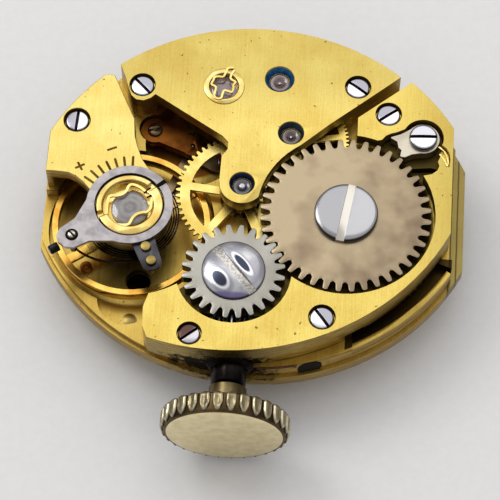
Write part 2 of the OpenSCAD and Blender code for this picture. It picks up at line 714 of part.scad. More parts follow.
module balance_staff() {
    color("silver") at(balance, 0) union() {
        translate([0, 0, 0.2]) cylinder(r = 0.05, h = 0.3);
        translate([0, 0, 0.49]) cylinder(r = 0.12, h = 0.62);
        translate([0, 0, 1.08]) cylinder(r = 0.34, h = 0.08);
        translate([0, 0, 1.12]) cylinder(r = 0.19, h = 0.3);
        translate([0, 0, 1.3]) cylinder(r = 0.13, h = 0.98);
        translate([0, 0, 2.27]) cylinder(r = 0.05, h = 0.48);
    }
    color("gold") at(balance, coil_z - 0.06) difference() {
        cylinder(r = 0.4, h = 0.23);
        translate([0, 0, -1]) cylinder(r = 0.13, h = 3);
    }
}

module roller() {
    color("silver") at(balance, 0) difference() {
        union() {
            translate([0, 0, 0.88]) cylinder(r = 1.1, h = 0.1);
            translate([0, 0, 0.56]) cylinder(r = 0.24, h = 0.5);
            translate([0, 0, 0.56]) cylinder(r = 0.42, h = 0.08);
        }
        translate([0, 0, -1]) cylinder(r = 0.12, h = 5);
        rotate(toward + 180 + pin_turn) translate([0.95, 0, 0]) cylinder(r = 0.1, h = 5);
        rotate(toward + 180 + pin_turn) translate([0.52, 0, 0.5]) cylinder(r = 0.16, h = 0.2);
    }
}

module impulse_jewel() {
    color("crimson") at(balance, 0.58) rotate(toward + 180 + pin_turn) translate([0.95, 0, 0])
        cylinder(r = 0.1, h = 0.38);
}

// Flat coil with its outer end led out to the stud
module hairspring() {
    color("midnightblue") at(balance, coil_z) linear_extrude(0.13)
        ribbon_path(0.44, 1.95, coil_turns, 0.045, 2.77, 215);
}

module ribbon_path(r0, r1, turns, w, r2, stud_at) {
    k = 36;
    lead = 3 * k / 4;
    a1 = stud_at + 270;
    n = k * turns;
    rad = [for (i = [0 : n + lead]) i <= n ? r0 + (r1 - r0) * i / n
           : r1 + (r2 - r1) * pow((i - n) / lead, 1.6)];
    ang = [for (i = [0 : n + lead]) stud_at + (n + lead - i) * 360 / k];
    outer = [for (i = [0 : n + lead]) polar(rad[i] + w / 2, ang[i])];
    inner = [for (i = [n + lead : -1 : 0]) polar(rad[i] - w / 2, ang[i])];
    polygon(concat(outer, inner));
}

module stud_carrier() {
    color("silver") at(balance, ring_z) linear_extrude(ring_t) difference() {
        union() {
            circle(1.83);
            rotate(215) polygon([[0.4, -1.5], [1.45, -1.12], [2.3, -0.6], [3.05, -0.52], [3.35, -0.3],
                                 [3.42, 0.0], [3.3, 0.34], [3.0, 0.56], [2.3, 0.62], [1.5, 1.1], [0.6, 1.72]]);
        }
        circle(setting_r + 0.03);
        rotate(40) translate([1, -0.05]) square([1, 0.1]);
        rotate(215) translate([2.77, 0]) circle(0.17);
    }
}

module hairspring_stud() {
    color("silver") at(balance, coil_z - 0.07) rotate(215) translate([2.77, 0, 0]) difference() {
        cylinder(r = 0.16, h = ring_z + ring_t + 0.09 - coil_z);
        translate([-0.5, -0.5, 0.03]) cube([0.53, 1, 0.22]);
    }
}

module stud_screw() {
    color("dimgray") at(balance, ring_z - 0.1) rotate(215) translate([3.46, 0.05, 0]) rotate([0, 90, 0])
        difference() {
            cylinder(r = 0.27, h = 0.42);
            translate([-0.5, -0.05, 0.32]) cube([1, 0.1, 1]);
        }
}

module regulator() {
    color("silver") at(balance, index_z) linear_extrude(index_t) difference() {
        union() {
            circle(1.72);
            rotate(-66) polygon([[1.2, -0.52], [2.9, -0.42], [3.12, -0.25], [3.16, 0], [3.12, 0.25],
                                 [2.9, 0.42], [1.2, 0.52]]);
        }
        circle(setting_r + 0.03);
        rotate(-66) for (r = [2.05, 2.74]) translate([r, 0]) circle(0.08);
    }
}

module curb_pins() {
    color("gold") at(balance, 0) rotate(-66) for (r = [2.05, 2.74]) translate([r, 0, 0]) {
        translate([0, 0, coil_z - 0.04]) cylinder(r = 0.075, h = index_z + index_t - coil_z + 0.04);
        translate([0, 0, index_z + index_t]) cylinder(r = 0.21, h = 0.14);
    }
}

module crown() {
    color("khaki") translate([0, crown_y, stem_z]) rotate([90, 0, 0]) difference() {
        union() {
            linear_extrude(crown_h - 0.12) union() {
                circle(crown_r - 0.14, $fn = 120);
                for (i = [0 : crown_ribs - 1]) rotate(i * 360 / crown_ribs)
                    translate([crown_r - 0.4, -0.2]) square([0.4, 0.4]);
            }
            translate([0, 0, crown_h - 0.121]) cylinder(r1 = crown_r - 0.2, r2 = 2.42, h = 0.121, $fn = 120);
            translate([0, 0, crown_y - hub_y]) cylinder(r = 0.79, h = hub_y - crown_y + 0.01);
        }
        translate([0, 0, crown_y - hub_y - 1]) cylinder(r = 0.4, h = 1.9);
    }
}

module stem() {
    color("slategray") difference() {
        union() {
            along_y(-3.95, -3.32, 0.17, 0.15);
            translate([-0.23, -5.6, stem_z - 0.23]) cube([0.46, 1.66, 0.46]);
            along_y(-6.6, -5.59, 0.33, 0.33);
            along_y(-6.9, -6.59, 0.46, 0.46);
            along_y(-7.26, -6.89, 0.28, 0.28);
            along_y(-7.6, -7.25, 0.46, 0.46);
            along_y(-8.35, -7.59, 0.88, 0.88);
            along_y(hub_y, -8.34, 0.6, 0.7);
            along_y(-10.0, hub_y + 0.01, 0.38, 0.38);
        }
    }
}

module face_teeth(y0, y1, r0, r1, turn) {
    translate([0, y1, stem_z]) rotate([90, 0, 0]) linear_extrude(y1 - y0) difference() {
        for (i = [0 : 7]) rotate(turn + i * 45) polygon([[0, 0], polar(r1, -10), polar(r1, 10)]);
        circle(r0);
    }
}

module winding_pinion() {
    color("silver") union() {
        translate([0, pinion_y[1], stem_z]) rotate([90, 0, 0]) linear_extrude(pinion_y[1] - pinion_y[0])
            difference() {
                polygon(gear_points(winder_n, winder_r, 0.105, 0.2, 0.2, 90 - winder_phase));
                circle(0.35);
            }
        difference() {
            along_y(pinion_y[1] - 0.01, pinion_y[1] + 0.16, 0.8, 0.8);
            along_y(-7, -5, 0.35, 0.35);
        }
        face_teeth(pinion_y[1] + 0.15, pinion_y[1] + 0.28, 0.36, 0.66, 0);
    }
}

module sliding_clutch() {
    color("silver") difference() {
        union() {
            along_y(clutch_y[0], clutch_y[0] + 0.34, 0.68, 0.68);
            along_y(clutch_y[0] + 0.33, clutch_y[1] - 0.41, 0.46, 0.46);
            along_y(clutch_y[1] - 0.42, clutch_y[1] - 0.13, 0.68, 0.68);
            face_teeth(clutch_y[1] - 0.14, clutch_y[1], 0.3, 0.68, 0);
            face_teeth(clutch_y[0] - 0.13, clutch_y[0] + 0.01, 0.36, 0.66, 22.5);
        }
        translate([-0.25, -7, stem_z - 0.25]) cube([0.5, 4, 0.5]);
    }
}

module setting_lever() {
    color("silver") difference() {
        union() {
            translate([0, 0, 0.1]) linear_extrude(0.18) {
                translate(lever_c) circle(0.42);
                polygon([[-1.69, -7.4], [0.1, -7.3], [0.2, -7.08], [0.1, -6.86], [-1.5, -6.75]]);
                polygon([[-2.1, -7.1], [-1.6, -6.8], [-2.2, -6.2], [-2.75, -6.25], [-2.7, -6.55]]);
            }
            translate([0, -7.075, 0.2]) cylinder(r = 0.11, h = stem_z - 0.28 - 0.23);
        }
        at(lever_c, -1) cylinder(r = 0.28, h = 3);
    }
}

module yoke() {
    color("silver") difference() {
        union() {
            translate([0, 0, 0.1]) linear_extrude(0.18) {
                translate(yoke_c) circle(0.36);
                polygon([[-2.2, -5.85], [-1.4, -5.35], [-0.35, -5.16], [0.2, -5.1], [0.2, -4.9],
                         [-0.5, -4.88], [-1.5, -5.0], [-2.2, -5.2]]);
            }
            translate([-0.12, -5.1, 0.27]) cube([0.24, 0.22, 0.46]);
        }
        at(yoke_c, -1) cylinder(r = 0.2, h = 3);
    }
}

module minute_wheel() {
    color("gold") at(minute_c, 0) difference() {
        union() {
            translate([0, 0, 0.16]) gear(36, 1.35, 0.06, 0.09, 0.22, minute_phase, 0.13);
            translate([0, 0, 0.03]) gear(10, 0.36, 0.055, 0.08, 0.2, aim(minute_c, center), 0.14);
        }
        translate([0, 0, -1]) cylinder(r = 0.14, h = 3);
    }
}

module hour_wheel() {
    color("gold") at(center, 0) difference() {
        union() {
            translate([0, 0, 0.03]) gear(40, 1.44, 0.055, 0.08, 0.22, hour_phase, 0.11);
            translate([0, 0, -1.1]) cylinder(r = hour_pipe_r, h = 1.14);
        }
        translate([0, 0, -2]) cylinder(r = 0.49, h = 4);
    }
}

module setting_wheel() {
    color("silver") at(setting_c, 0) difference() {
        translate([0, 0, 0.16]) gear(20, 0.75, 0.06, 0.09, 0.22, setting_phase, 0.46);
        translate([0, 0, -1]) cylinder(r = 0.2, h = 3);
    }
}

main_plate();
barrel_bridge();
train_bridge();
balance_cock();
pallet_cock();
bridge_screws();
small_screws();
crown_wheel_core();
crown_wheel_screw();
click_screw();
click_spring();
train_jewels();
lower_jewels();
cap_jewels();
escape_cap_setting();
cap_springs();
balance_upper_setting();
balance_lower_setting();
banking_pins();
setting_lever_screw();
cover_plate();
barrel_drum();
barrel_cover();
mainspring();
barrel_arbor();
ratchet_wheel();
ratchet_screw();
crown_wheel();
click();
center_wheel();
center_pinion();
cannon_pinion();
third_wheel();
third_pinion();
fourth_wheel();
fourth_pinion();
escape_wheel();
escape_pinion();
pallet_fork();
pallet_stones();
pallet_arbor();
balance_wheel();
balance_staff();
roller();
impulse_jewel();
hairspring();
stud_carrier();
hairspring_stud();
stud_screw();
regulator();
curb_pins();
crown();
stem();
winding_pinion();
sliding_clutch();
setting_lever();
yoke();
minute_wheel();
hour_wheel();
setting_wheel();
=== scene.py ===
"""Looks of a hand-wound watch movement: finishes, screws, jewels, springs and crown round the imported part."""
from math import cos, pi, radians, sin, tau

import bmesh
import bpy
from mathutils import Matrix, Vector


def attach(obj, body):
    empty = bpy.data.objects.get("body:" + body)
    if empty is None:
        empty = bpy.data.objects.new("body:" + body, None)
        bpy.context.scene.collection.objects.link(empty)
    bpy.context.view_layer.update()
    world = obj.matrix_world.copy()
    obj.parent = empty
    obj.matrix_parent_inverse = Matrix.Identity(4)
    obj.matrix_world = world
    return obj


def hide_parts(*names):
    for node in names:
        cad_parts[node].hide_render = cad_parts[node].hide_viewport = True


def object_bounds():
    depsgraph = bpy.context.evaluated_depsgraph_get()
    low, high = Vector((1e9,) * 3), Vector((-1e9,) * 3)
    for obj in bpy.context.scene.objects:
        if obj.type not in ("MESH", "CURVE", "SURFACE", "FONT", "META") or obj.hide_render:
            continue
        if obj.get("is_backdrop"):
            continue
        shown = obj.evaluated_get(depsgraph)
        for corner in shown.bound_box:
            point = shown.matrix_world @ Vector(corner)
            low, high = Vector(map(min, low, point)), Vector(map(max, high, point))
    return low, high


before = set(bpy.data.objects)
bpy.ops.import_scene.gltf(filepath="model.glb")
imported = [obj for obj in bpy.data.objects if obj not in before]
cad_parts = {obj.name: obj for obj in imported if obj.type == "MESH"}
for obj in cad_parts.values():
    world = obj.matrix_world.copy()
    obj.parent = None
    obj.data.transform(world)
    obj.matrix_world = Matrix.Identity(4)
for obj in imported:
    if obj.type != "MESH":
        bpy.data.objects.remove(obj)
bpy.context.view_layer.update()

MM = 0.001

# Places in millimetres from the dial seat under the hands' centre; SEAT is the middle of the plate's wall
CENTER, THIRD, FOURTH = (0.0, 0.0), (1.92, 2.56), (1.28, 5.18)
BARREL, CROWN_WHEEL, CLICK = (4.45, -1.13), (-0.08, -4.07), (7.56, 2.7)
ESCAPE, BALANCE, LEVER = (-1.09, 4.65), (-4.62, -1.47), (-1.69, -7.07)
SEAT, HOLLOW, CLICK_RECESS, BANKING = (0.53, 2.1), (-4.17, -3.67), (7.2, 1.9), (-2.4, 3.3)
PLATE_TOP, SLAB, RECESS_Z, BRIDGE_TOP = 1.5, 2.34, 2.45, 2.95
WHEEL_LOW, WHEEL_TOP, RING_Z, MARK_DEEP = 2.36, 2.84, 3.03, 0.006
STEM_Z, STEM_DIRT, WALL_R = 1.26, (-0.5, -8.0, 1.3), 9.9
CROWN_AT, CROWN_R = (0, -9.95, STEM_Z), 2.54
FLAT_END_X, FLAT_END_STEPS = 8.83, (8.94, 9.25)
WINDOW_R, WINDOW_LOW, WINDOW_TOP = 9.79, 0.96, 1.93
BRIDGE_SCREWS = [(-4.6, 4.51, -45), (4.67, 5.0, -35), (-7.24, 2.6, 88), (6.04, 3.75, 38), (3.69, -5.99, -52)]
STUD_AT, STUD_R = 215, 2.77


# Node graphs
class Wire:
    """One output socket, with Python's operators as Math nodes."""

    def __init__(self, graph, socket):
        self.graph, self.socket = graph, socket

    def math(self, operation, other=None, flip=False):
        first, second = (other, self) if flip else (self, other)
        values = {0: first} if second is None else {0: first, 1: second}
        return self.graph.node("ShaderNodeMath", {"operation": operation}, values)

    def __add__(self, other):
        return self.math("ADD", other)

    def __sub__(self, other):
        return self.math("SUBTRACT", other)

    def __rsub__(self, other):
        return self.math("SUBTRACT", other, flip=True)

    def __mul__(self, other):
        return self.math("MULTIPLY", other)

    def __truediv__(self, other):
        return self.math("DIVIDE", other)

    def __pow__(self, other):
        return self.math("POWER", other)

    def __lt__(self, other):
        return self.math("LESS_THAN", other)

    def __gt__(self, other):
        return self.math("GREATER_THAN", other)

    __radd__, __rmul__ = __add__, __mul__

    def ramp(self, low, high):
        """0 at low and below, 1 at high and above, smooth between."""
        return self.graph.node(
            "ShaderNodeMapRange", {"interpolation_type": "SMOOTHSTEP"},
            {"Value": self, "From Min": low, "From Max": high})


class Graph:
    """Adds nodes to one tree, settings first and then the values or wires of the sockets."""

    def __init__(self, tree, owner=None):
        self.tree, self.owner = tree, owner

    def node(self, kind, settings=None, values=None, out=0):
        made = self.tree.nodes.new(kind)
        for key, value in (settings or {}).items():
            setattr(made, key, value)
        for key, value in (values or {}).items():
            socket = made.inputs[key]
            if isinstance(value, Wire):
                self.tree.links.new(value.socket, socket)
            else:
                socket.default_value = value
        return Wire(self, made.outputs[out])

    def end(self, kind, value):
        """Ends the tree in its output node."""
        self.tree.links.new(value.socket, self.tree.nodes.new(kind).inputs[0])
        return self.tree

    def mix(self, share, first, second):
        """Colour between two. Three numbers are a colour as seen, 0 to 255, and four a linear one."""
        first, second = (seen(*c) if isinstance(c, tuple) and len(c) == 3 else c for c in (first, second))
        return self.node("ShaderNodeMix", {"data_type": "RGBA"}, {0: share, 6: first, 7: second}, out=2)

    def vector(self, operation, first, second):
        return self.node("ShaderNodeVectorMath", {"operation": operation}, {0: first, 1: second})

    def split(self, vector):
        made = self.node("ShaderNodeSeparateXYZ", None, {0: vector}).socket.node
        return [Wire(self, socket) for socket in made.outputs]

    def place(self):
        """Place on the object in millimetres."""
        return self.vector("MULTIPLY", self.node("ShaderNodeTexCoord", out=3), (1000, 1000, 1000))

    def stretched(self, place, scale, turn=0.0):
        """Place turned by degrees and stretched, for lines."""
        return self.node("ShaderNodeMapping", {"vector_type": "POINT"}, {
            "Vector": place, "Rotation": (0, 0, radians(turn)), "Scale": scale})

    def noise(self, place, scale=1.0, detail=2.0, rough=0.5):
        return self.node("ShaderNodeTexNoise", {"noise_dimensions": "3D"},
                         {"Vector": place, "Scale": scale, "Detail": detail, "Roughness": rough})

    def reach(self, place, centre):
        """Distance from a centre in millimetres."""
        x, y, _ = self.split(self.vector("SUBTRACT", place, (*centre, 0)))
        return (x * x + y * y) ** 0.5

    def joined(self, x, y, z):
        return self.node("ShaderNodeCombineXYZ", None, {0: x, 1: y, 2: z})

    def stored(self, name, out=2):
        """What the piece's own points store under a name: a number, or a place from output 1."""
        return self.node("ShaderNodeAttribute", {"attribute_name": name}, out=out)

    def facing_up(self):
        """1 on level faces, 0 on walls."""
        return self.split(self.node("ShaderNodeNewGeometry", out=1))[2].math("ABSOLUTE").ramp(0.5, 0.85)


def seen(red, green, blue):
    """Linear colour of a colour given as it is seen, 0 to 255."""
    def line(v):
        v /= 255
        return v / 12.92 if v <= 0.04045 else ((v + 0.055) / 1.055) ** 2.4
    return (line(red), line(green), line(blue), 1.0)


def material(name):
    """Empty graph of a new material."""
    made = bpy.data.materials.new(name)
    made.use_nodes = True
    made.node_tree.nodes.clear()
    return Graph(made.node_tree, made)


def shaded(graph, colour, roughness, metallic=1.0, height=None, depth=0.002, fixed=None):
    """Ends a material with one principled shader. Height is in shares of depth, in millimetres."""
    values = {"Base Color": colour, "Roughness": roughness, "Metallic": metallic, **(fixed or {})}
    if height is not None:
        values["Normal"] = graph.node("ShaderNodeBump", None, {
            "Strength": 1.0, "Distance": depth * MM, "Height": height})
    graph.end("ShaderNodeOutputMaterial", graph.node("ShaderNodeBsdfPrincipled", None, values))
    return graph.owner


# Finishes
# Grime is the plate's dirt; the recess and wall colours are painted shade.
GRIME_BLACK, RECESS_SHADE, WALL_SHADE_BROWN = (34, 25, 14), (44, 31, 14), (146, 118, 66)


def dirt_and_window_shade(g, place, up, colour):
    """Colour with the plate's old dirt and painted shade in the barrel window, and the share of dirt round the
    stem.

    The dirt lies round the stem, along the seam of plate and bridge and on the flat end; the inside of the
    barrel window is painted near black as shade.
    """
    x, y, z = g.split(place)
    away = g.node("ShaderNodeVectorMath", {"operation": "LENGTH"}, {
        0: g.vector("MULTIPLY", g.vector("SUBTRACT", place, STEM_DIRT), (0.3, 0.8, 0.75))}, out=1)
    patchy = (g.noise(place, 2.4, 4.0, 0.7) - 0.5) * 2.2
    dirt = (1.05 - away + patchy * 0.8).ramp(0.1, 0.5) * (y < -6.6) * (1 - up * 0.8)
    seam = (1 - (z - PLATE_TOP).math("ABSOLUTE") * 9.0 + patchy * 0.7).ramp(0.2, 0.6) * (1 - up) * 0.75
    stained = ((x - FLAT_END_X) * 8.0 + patchy * 0.25).ramp(0.1, 0.9)
    colour = g.mix(stained * 0.7, colour, (108, 102, 66))
    for line in FLAT_END_STEPS:
        thin = 1 - (x - line + patchy * 0.02).math("ABSOLUTE").ramp(0.015, 0.05)
        colour = g.mix(thin * 0.75, colour, (50, 42, 20))
    # Painted shade: the inside of the barrel window is painted near black.
    window = (g.reach(place, SEAT) < WINDOW_R) * (x > 4.7) * (y < -2.3) * (z < WINDOW_TOP) * (z > WINDOW_LOW)
    colour = g.mix(window * 0.92, colour, (34, 22, 10))
    colour = g.mix(seam, colour, (60, 42, 18))
    return g.mix(dirt, colour, GRIME_BLACK), dirt


def gilt(name, turn, bright=(227, 208, 122), deep=(198, 168, 80), dirt_and_shade=False, fade=None, sunk_shade=()):
    """Gilded brass with fine brushed lines on its level faces and rougher walls, painted browner as shade.

    fade is (x share, y share, start, end, depth): a painted shade deepens along that direction.
    sunk lists pools of painted shade (centre, radius, height, colour): places inside the radius and below that
    height are painted that dark.
    """
    g = material(name)
    place = g.place()
    x, y, z = g.split(place)
    up = g.facing_up()
    lines = g.noise(g.stretched(place, (16, 0.5, 1), turn), 1.0, 3.0, 0.65)
    grain = g.noise(place, 13.0, 2.0)
    broad = g.noise(place, 0.55, 2.0).ramp(0.3, 0.7)
    wall_lines = g.noise(g.stretched(place, (1.2, 1.2, 11)), 1.0, 3.0, 0.6)
    share = (lines - 0.5) * 1.05 + (grain - 0.5) * 0.6 + broad * 0.45 + 0.3
    top_colour = g.mix(share, deep, bright)
    # Painted shade: the level faces darken along the fade direction.
    if fade:
        along = x * fade[0] + y * fade[1]
        shade_fade = (along + (broad - 0.5) * 0.8).ramp(fade[2], fade[3]) * fade[4]
        top_colour = g.mix(shade_fade, top_colour, (112, 88, 36))
    # Painted shade: walls are browner than the level faces.
    wall_colour = g.mix(wall_lines.ramp(0.3, 0.7), WALL_SHADE_BROWN, g.mix(0.45, WALL_SHADE_BROWN, bright))
    colour = g.mix(up, wall_colour, top_colour)
    specks = g.noise(place, 5.5, 1.0).ramp(0.74, 0.77)
    colour = g.mix(specks * 0.7, colour, (70, 48, 20))
    rough = up * (0.27 + lines * 0.12) + (1 - up) * 0.42
    # Painted shade: pools below a height inside a radius are darkened.
    for centre, radius, height, tone in sunk_shade:
        outside = g.reach(place, centre).ramp(radius - 0.08, radius + 0.08)
        inside = (1 - outside) * (z < height) * (z > 0.3)
        colour = g.mix(inside * 0.9, colour, tone)
        rough = rough + inside * 0.15
    if dirt_and_shade:
        colour, dirt = dirt_and_window_shade(g, place, up, colour)
        rough = rough + dirt * 0.3
    height = up * (lines * 0.8 + grain * 0.2) + (1 - up) * wall_lines
    return shaded(g, colour, rough, height=height, depth=0.0016)


def plain_metal(name, light, dark, roughness, scale=1.2):
    """Smooth metal with a cloudy tone and a faint grain."""
    g = material(name)
    place = g.place()
    cloud = g.noise(place, scale, 3.0)
    grain = g.noise(place, 14.0, 2.0)
    colour = g.mix(cloud.ramp(0.3, 0.7), dark, light)
    return shaded(g, colour, roughness + (grain - 0.5) * 0.06, height=grain, depth=0.0006)


def clouded_steel(name, centre, light, dark, edge, wide, shade_lean):
    """Wheel steel with soft stains, faint rays from the centre and paler teeth; one side painted darker as
    shade, a painted sheen towards the centre and tooth walls painted dark as shade.
    """
    g = material(name)
    place = g.place()
    x, y, _ = g.split(g.vector("SUBTRACT", place, (*centre, 0)))
    radius = (x * x + y * y) ** 0.5
    up = g.facing_up()
    spread = radius + 0.01
    rays = g.noise(g.joined(x / spread * 26.0, y / spread * 26.0, radius * 0.4), 1.0, 2.0, 0.6)
    grain = g.noise(place, 12.0, 2.0)
    cloud = g.noise(place, 0.62, 2.5).ramp(0.32, 0.7)
    small = g.noise(place, 1.7, 2.0)
    # The lean term paints one side of the wheel darker as shade.
    shade = cloud * 0.7 + (small - 0.5) * 0.6 + (rays - 0.5) * 0.1 + (x * 0.8 - y * 0.4) / wide * shade_lean
    colour = g.mix(shade, light, dark)
    colour = g.mix((grain - 0.4) * 0.25, colour, light)
    colour = g.mix(radius.ramp(wide - 0.45, wide - 0.1) * 0.4, colour, light)
    # Painted sheen: lighter towards the centre.
    colour = g.mix((1 - radius.ramp(1.3, 2.5)) * 0.45, colour, light)
    # Painted shade: tooth walls take the dark edge colour.
    colour = g.mix((1 - up) * 0.75, colour, edge)
    return shaded(g, colour, 0.35 + (grain - 0.5) * 0.14, height=grain, depth=0.0007)


def screw_steel(name, radius, light, dark, slot, slot_half, split=1.0):
    """Polished screw head: painted reflection in two halves, one lighter and one darker, a rim painted dark as
    shade, and its own slot colour, which is painted shade where the slot is dark.
    """
    g = material(name)
    x, y, z = g.split(g.stored("local", 1))
    reach = (x * x + y * y) ** 0.5
    place = g.place()
    cloud = g.noise(place, 1.3, 2.0)
    marks = g.noise(place, 10.0, 3.0)
    # Painted reflection: one half of the head lighter, the other darker.
    reflection_half = (y / radius + (cloud - 0.5) * 0.7).ramp(-0.3, 0.3)
    colour = g.mix(reflection_half * split, light, dark)
    # Painted shade: a dark rim round the head.
    colour = g.mix(reach.ramp(radius - 0.08, radius - 0.03) * 0.85, colour, (52, 46, 50))
    # The slot colour is painted shade where it is dark, a pale grain where it is light.
    colour = g.mix((y.math("ABSOLUTE") < slot_half) * (z < -0.045), colour, slot)
    return shaded(g, colour, 0.18 + (marks - 0.5) * 0.12, height=marks, depth=0.0007)


def domed_steel(name):
    """Domed screw head: two painted dark reflections with pale painted highlights round them, a painted violet
    reflection on its rim, a rim painted dark as shade, and a grained slot.
    """
    g = material(name)
    x, y, z = g.split(g.stored("local", 1))
    reach = (x * x + y * y) ** 0.5
    place = g.place()
    marks = g.noise(place, 10.0, 3.0)
    colour = g.mix(g.noise(place, 1.4, 2.0).ramp(0.35, 0.65), (162, 160, 166), (198, 197, 198))
    # Painted reflections: two dark patches with pale highlights round them.
    for middle_x, middle_y, half_x, half_y in [(0.0, -0.74, 0.43, 0.25), (0.05, 0.42, 0.52, 0.16)]:
        far = (((x - middle_x) / half_x) ** 2 + ((y - middle_y) / half_y) ** 2) ** 0.5
        colour = g.mix((1 - far.ramp(1.5, 2.1)) * 0.8, colour, (150, 150, 158))
        colour = g.mix(1 - far.ramp(1.1, 1.45), colour, (238, 238, 240))
        colour = g.mix(1 - far.ramp(0.8, 1.12), colour, (62, 66, 80))
    # Painted reflection: violet on the lower rim.
    violet_reflection = (x * 0.743 - y * 0.669).ramp(0.98, 1.12)
    colour = g.mix(violet_reflection * 0.75, colour, (104, 92, 148))
    # Painted shade: a dark rim round the head.
    colour = g.mix(reach.ramp(1.24, 1.31) * 0.8, colour, (64, 58, 66))
    grained = g.mix(marks.ramp(0.35, 0.65), (158, 152, 144), (204, 200, 194))
    colour = g.mix((y.math("ABSOLUTE") < 0.185) * (z < -0.05), colour, grained)
    return shaded(g, colour, 0.2 + (marks - 0.5) * 0.1, height=marks, depth=0.0007)


def glassy(name, light, dark, clear, centre=None, rings=0.0):
    """Jewel: a bright mineral face over a deep body colour; round a centre, painted reflections lighten it
    outwards and ring its hole.
    """
    g = material(name)
    place = g.place()
    cloud = g.noise(place, 2.5, 2.0)
    share = cloud.ramp(0.35, 0.65)
    # Painted reflections: the jewel lightens outwards and is ringed round its hole.
    if centre:
        radius = g.reach(place, centre)
        share = share * 0.3 + (radius * rings).math("SINE") * 0.2 + radius.ramp(0.1, 0.62) * 0.6
    colour = g.mix(share, dark, light)
    return shaded(g, colour, 0.06 + cloud * 0.04, metallic=0.0, fixed={
        "IOR": 1.76, "Transmission Weight": clear, "Coat Weight": 0.5, "Coat Roughness": 0.03})


def enamel(name, light, dark):
    """Blued or blackened wall."""
    g = material(name)
    cloud = g.noise(g.place(), 4.0, 2.0)
    return shaded(g, g.mix(cloud.ramp(0.3, 0.7), dark, light), 0.3 + cloud * 0.1, metallic=0.7)


def crown_rib_gold():
    """Rib of the crown: a painted highlight along its rims and tip, a painted dark reflection in its dished
    middle and painted shade at its foot.
    """
    g = material("crown_rib_gold")
    rim, tall = g.stored("rim"), g.stored("tall")
    grain = g.noise(g.place(), 9.0, 2.0)
    # Painted highlight on the rims and tip, painted dark reflection in the dished middle.
    colour = g.mix((rim + (grain - 0.5) * 0.3).ramp(0.42, 0.92), (140, 127, 96), (232, 222, 190))
    # Painted shade at the rib's foot.
    colour = g.mix(1 - tall.ramp(0.1, 0.75), colour, (64, 48, 28))
    return shaded(g, colour, 0.3 + (grain - 0.5) * 0.1, height=grain, depth=0.0008)


# Painted shade: the sunk pools darken the plate's cavity and hollow and the recesses under the ratchet, crown
# wheel and click; fade darkens the bridges towards one side.
PLATE = gilt("gilt_plate", 0, bright=(206, 178, 92), deep=(170, 136, 60), dirt_and_shade=True, sunk_shade=[
    (BANKING, 1.9, 2.2, (118, 62, 18)), ((3.9, 1.4), 1.9, 2.2, (66, 42, 14)), (HOLLOW, 0.56, 0.6, (26, 18, 8))])
BARREL_BRIDGE = gilt("gilt_barrel_bridge", 4, bright=(226, 206, 114), deep=(196, 164, 76), dirt_and_shade=True,
                     fade=(1.0, 0.05, 6.2, 9.6, 0.4), sunk_shade=[
                         (BARREL, 3.7, RECESS_Z, RECESS_SHADE), (CROWN_WHEEL, 2.38, RECESS_Z, RECESS_SHADE),
                         (CLICK_RECESS, 1.75, RECESS_Z, RECESS_SHADE)])
EDGE_GILT = gilt("gilt_plate_edge", 0, bright=(214, 186, 96), deep=(178, 144, 64))
TRAIN_BRIDGE = gilt("gilt_train_bridge", 2, fade=(-0.1, 1.0, 2.6, 5.8, 0.26))
COCK = gilt("gilt_balance_cock", 42, bright=(232, 214, 134), deep=(206, 178, 90))
WHEEL_GILT = plain_metal("gilt_wheel", (236, 216, 134), (206, 178, 88), 0.28)
RIM_GILT = plain_metal("gilt_balance_rim", (232, 196, 100), (200, 146, 58), 0.2)
SETTING_GILT = plain_metal("pale_gilt_setting", (236, 214, 140), (206, 174, 92), 0.22)
SPRING_GILT = plain_metal("gilt_spring", (244, 224, 150), (214, 182, 100), 0.18)
SHADED_GILT = plain_metal("shaded_gilt", (128, 76, 28), (84, 46, 16), 0.36)
# Painted shade: the small screws sit dark in the shaded cavity.
SHADED_SCREW_STEEL = plain_metal("shaded_small_screw", (112, 92, 72), (70, 52, 38), 0.34)
DULL_BRASS = plain_metal("dull_brass", (168, 146, 84), (130, 108, 58), 0.36)
RATCHET = clouded_steel("clouded_ratchet", BARREL, (174, 157, 127), (118, 99, 80), (84, 70, 54), 3.6, 0.3)
CROWN_STEEL = clouded_steel("clouded_crown_wheel", CROWN_WHEEL, (170, 167, 157), (122, 116, 103),
                            (74, 66, 54), 2.16, 0.1)
SCREW = screw_steel("polished_screw", 0.5, (226, 226, 230), (158, 156, 164), (34, 30, 30), 0.078)
CLICK_SCREW = screw_steel("bright_click_screw", 0.6, (236, 236, 238), (196, 194, 200), (40, 34, 32), 0.09)
RATCHET_SCREW = screw_steel("flat_ratchet_screw", 1.34, (172, 171, 172), (142, 141, 144), (204, 198, 188),
                            0.185, 0.6)
STUD_SCREW = screw_steel("bright_stud_dome", 0.2, (232, 226, 214), (176, 166, 150), (52, 40, 30), 0.055, 0.6)
BROWN_SCREW = screw_steel("browned_screw", 0.45, (196, 192, 196), (84, 62, 58), (36, 26, 22), 0.075)
CROWN_SCREW = domed_steel("domed_crown_screw")
STEEL = plain_metal("fine_steel", (196, 194, 194), (150, 148, 148), 0.28)
DEEP_STEEL = plain_metal("amber_lit_steel", (142, 122, 92), (92, 74, 50), 0.3)
CLICK_STEEL = plain_metal("grained_click", (198, 190, 172), (164, 154, 136), 0.34)
DARK_STEEL = plain_metal("dark_steel", (76, 75, 78), (42, 41, 44), 0.26)
STUD_STEEL = plain_metal("lilac_stud_steel", (172, 166, 166), (142, 136, 138), 0.34, scale=2.6)
BLUED = plain_metal("blued_spring", (34, 36, 56), (12, 12, 20), 0.24)
BLACKENED = plain_metal("blackened_steel", (52, 50, 52), (20, 19, 20), 0.3)
BLACK_COLLAR = plain_metal("black_collar", (38, 34, 32), (16, 14, 13), 0.2)
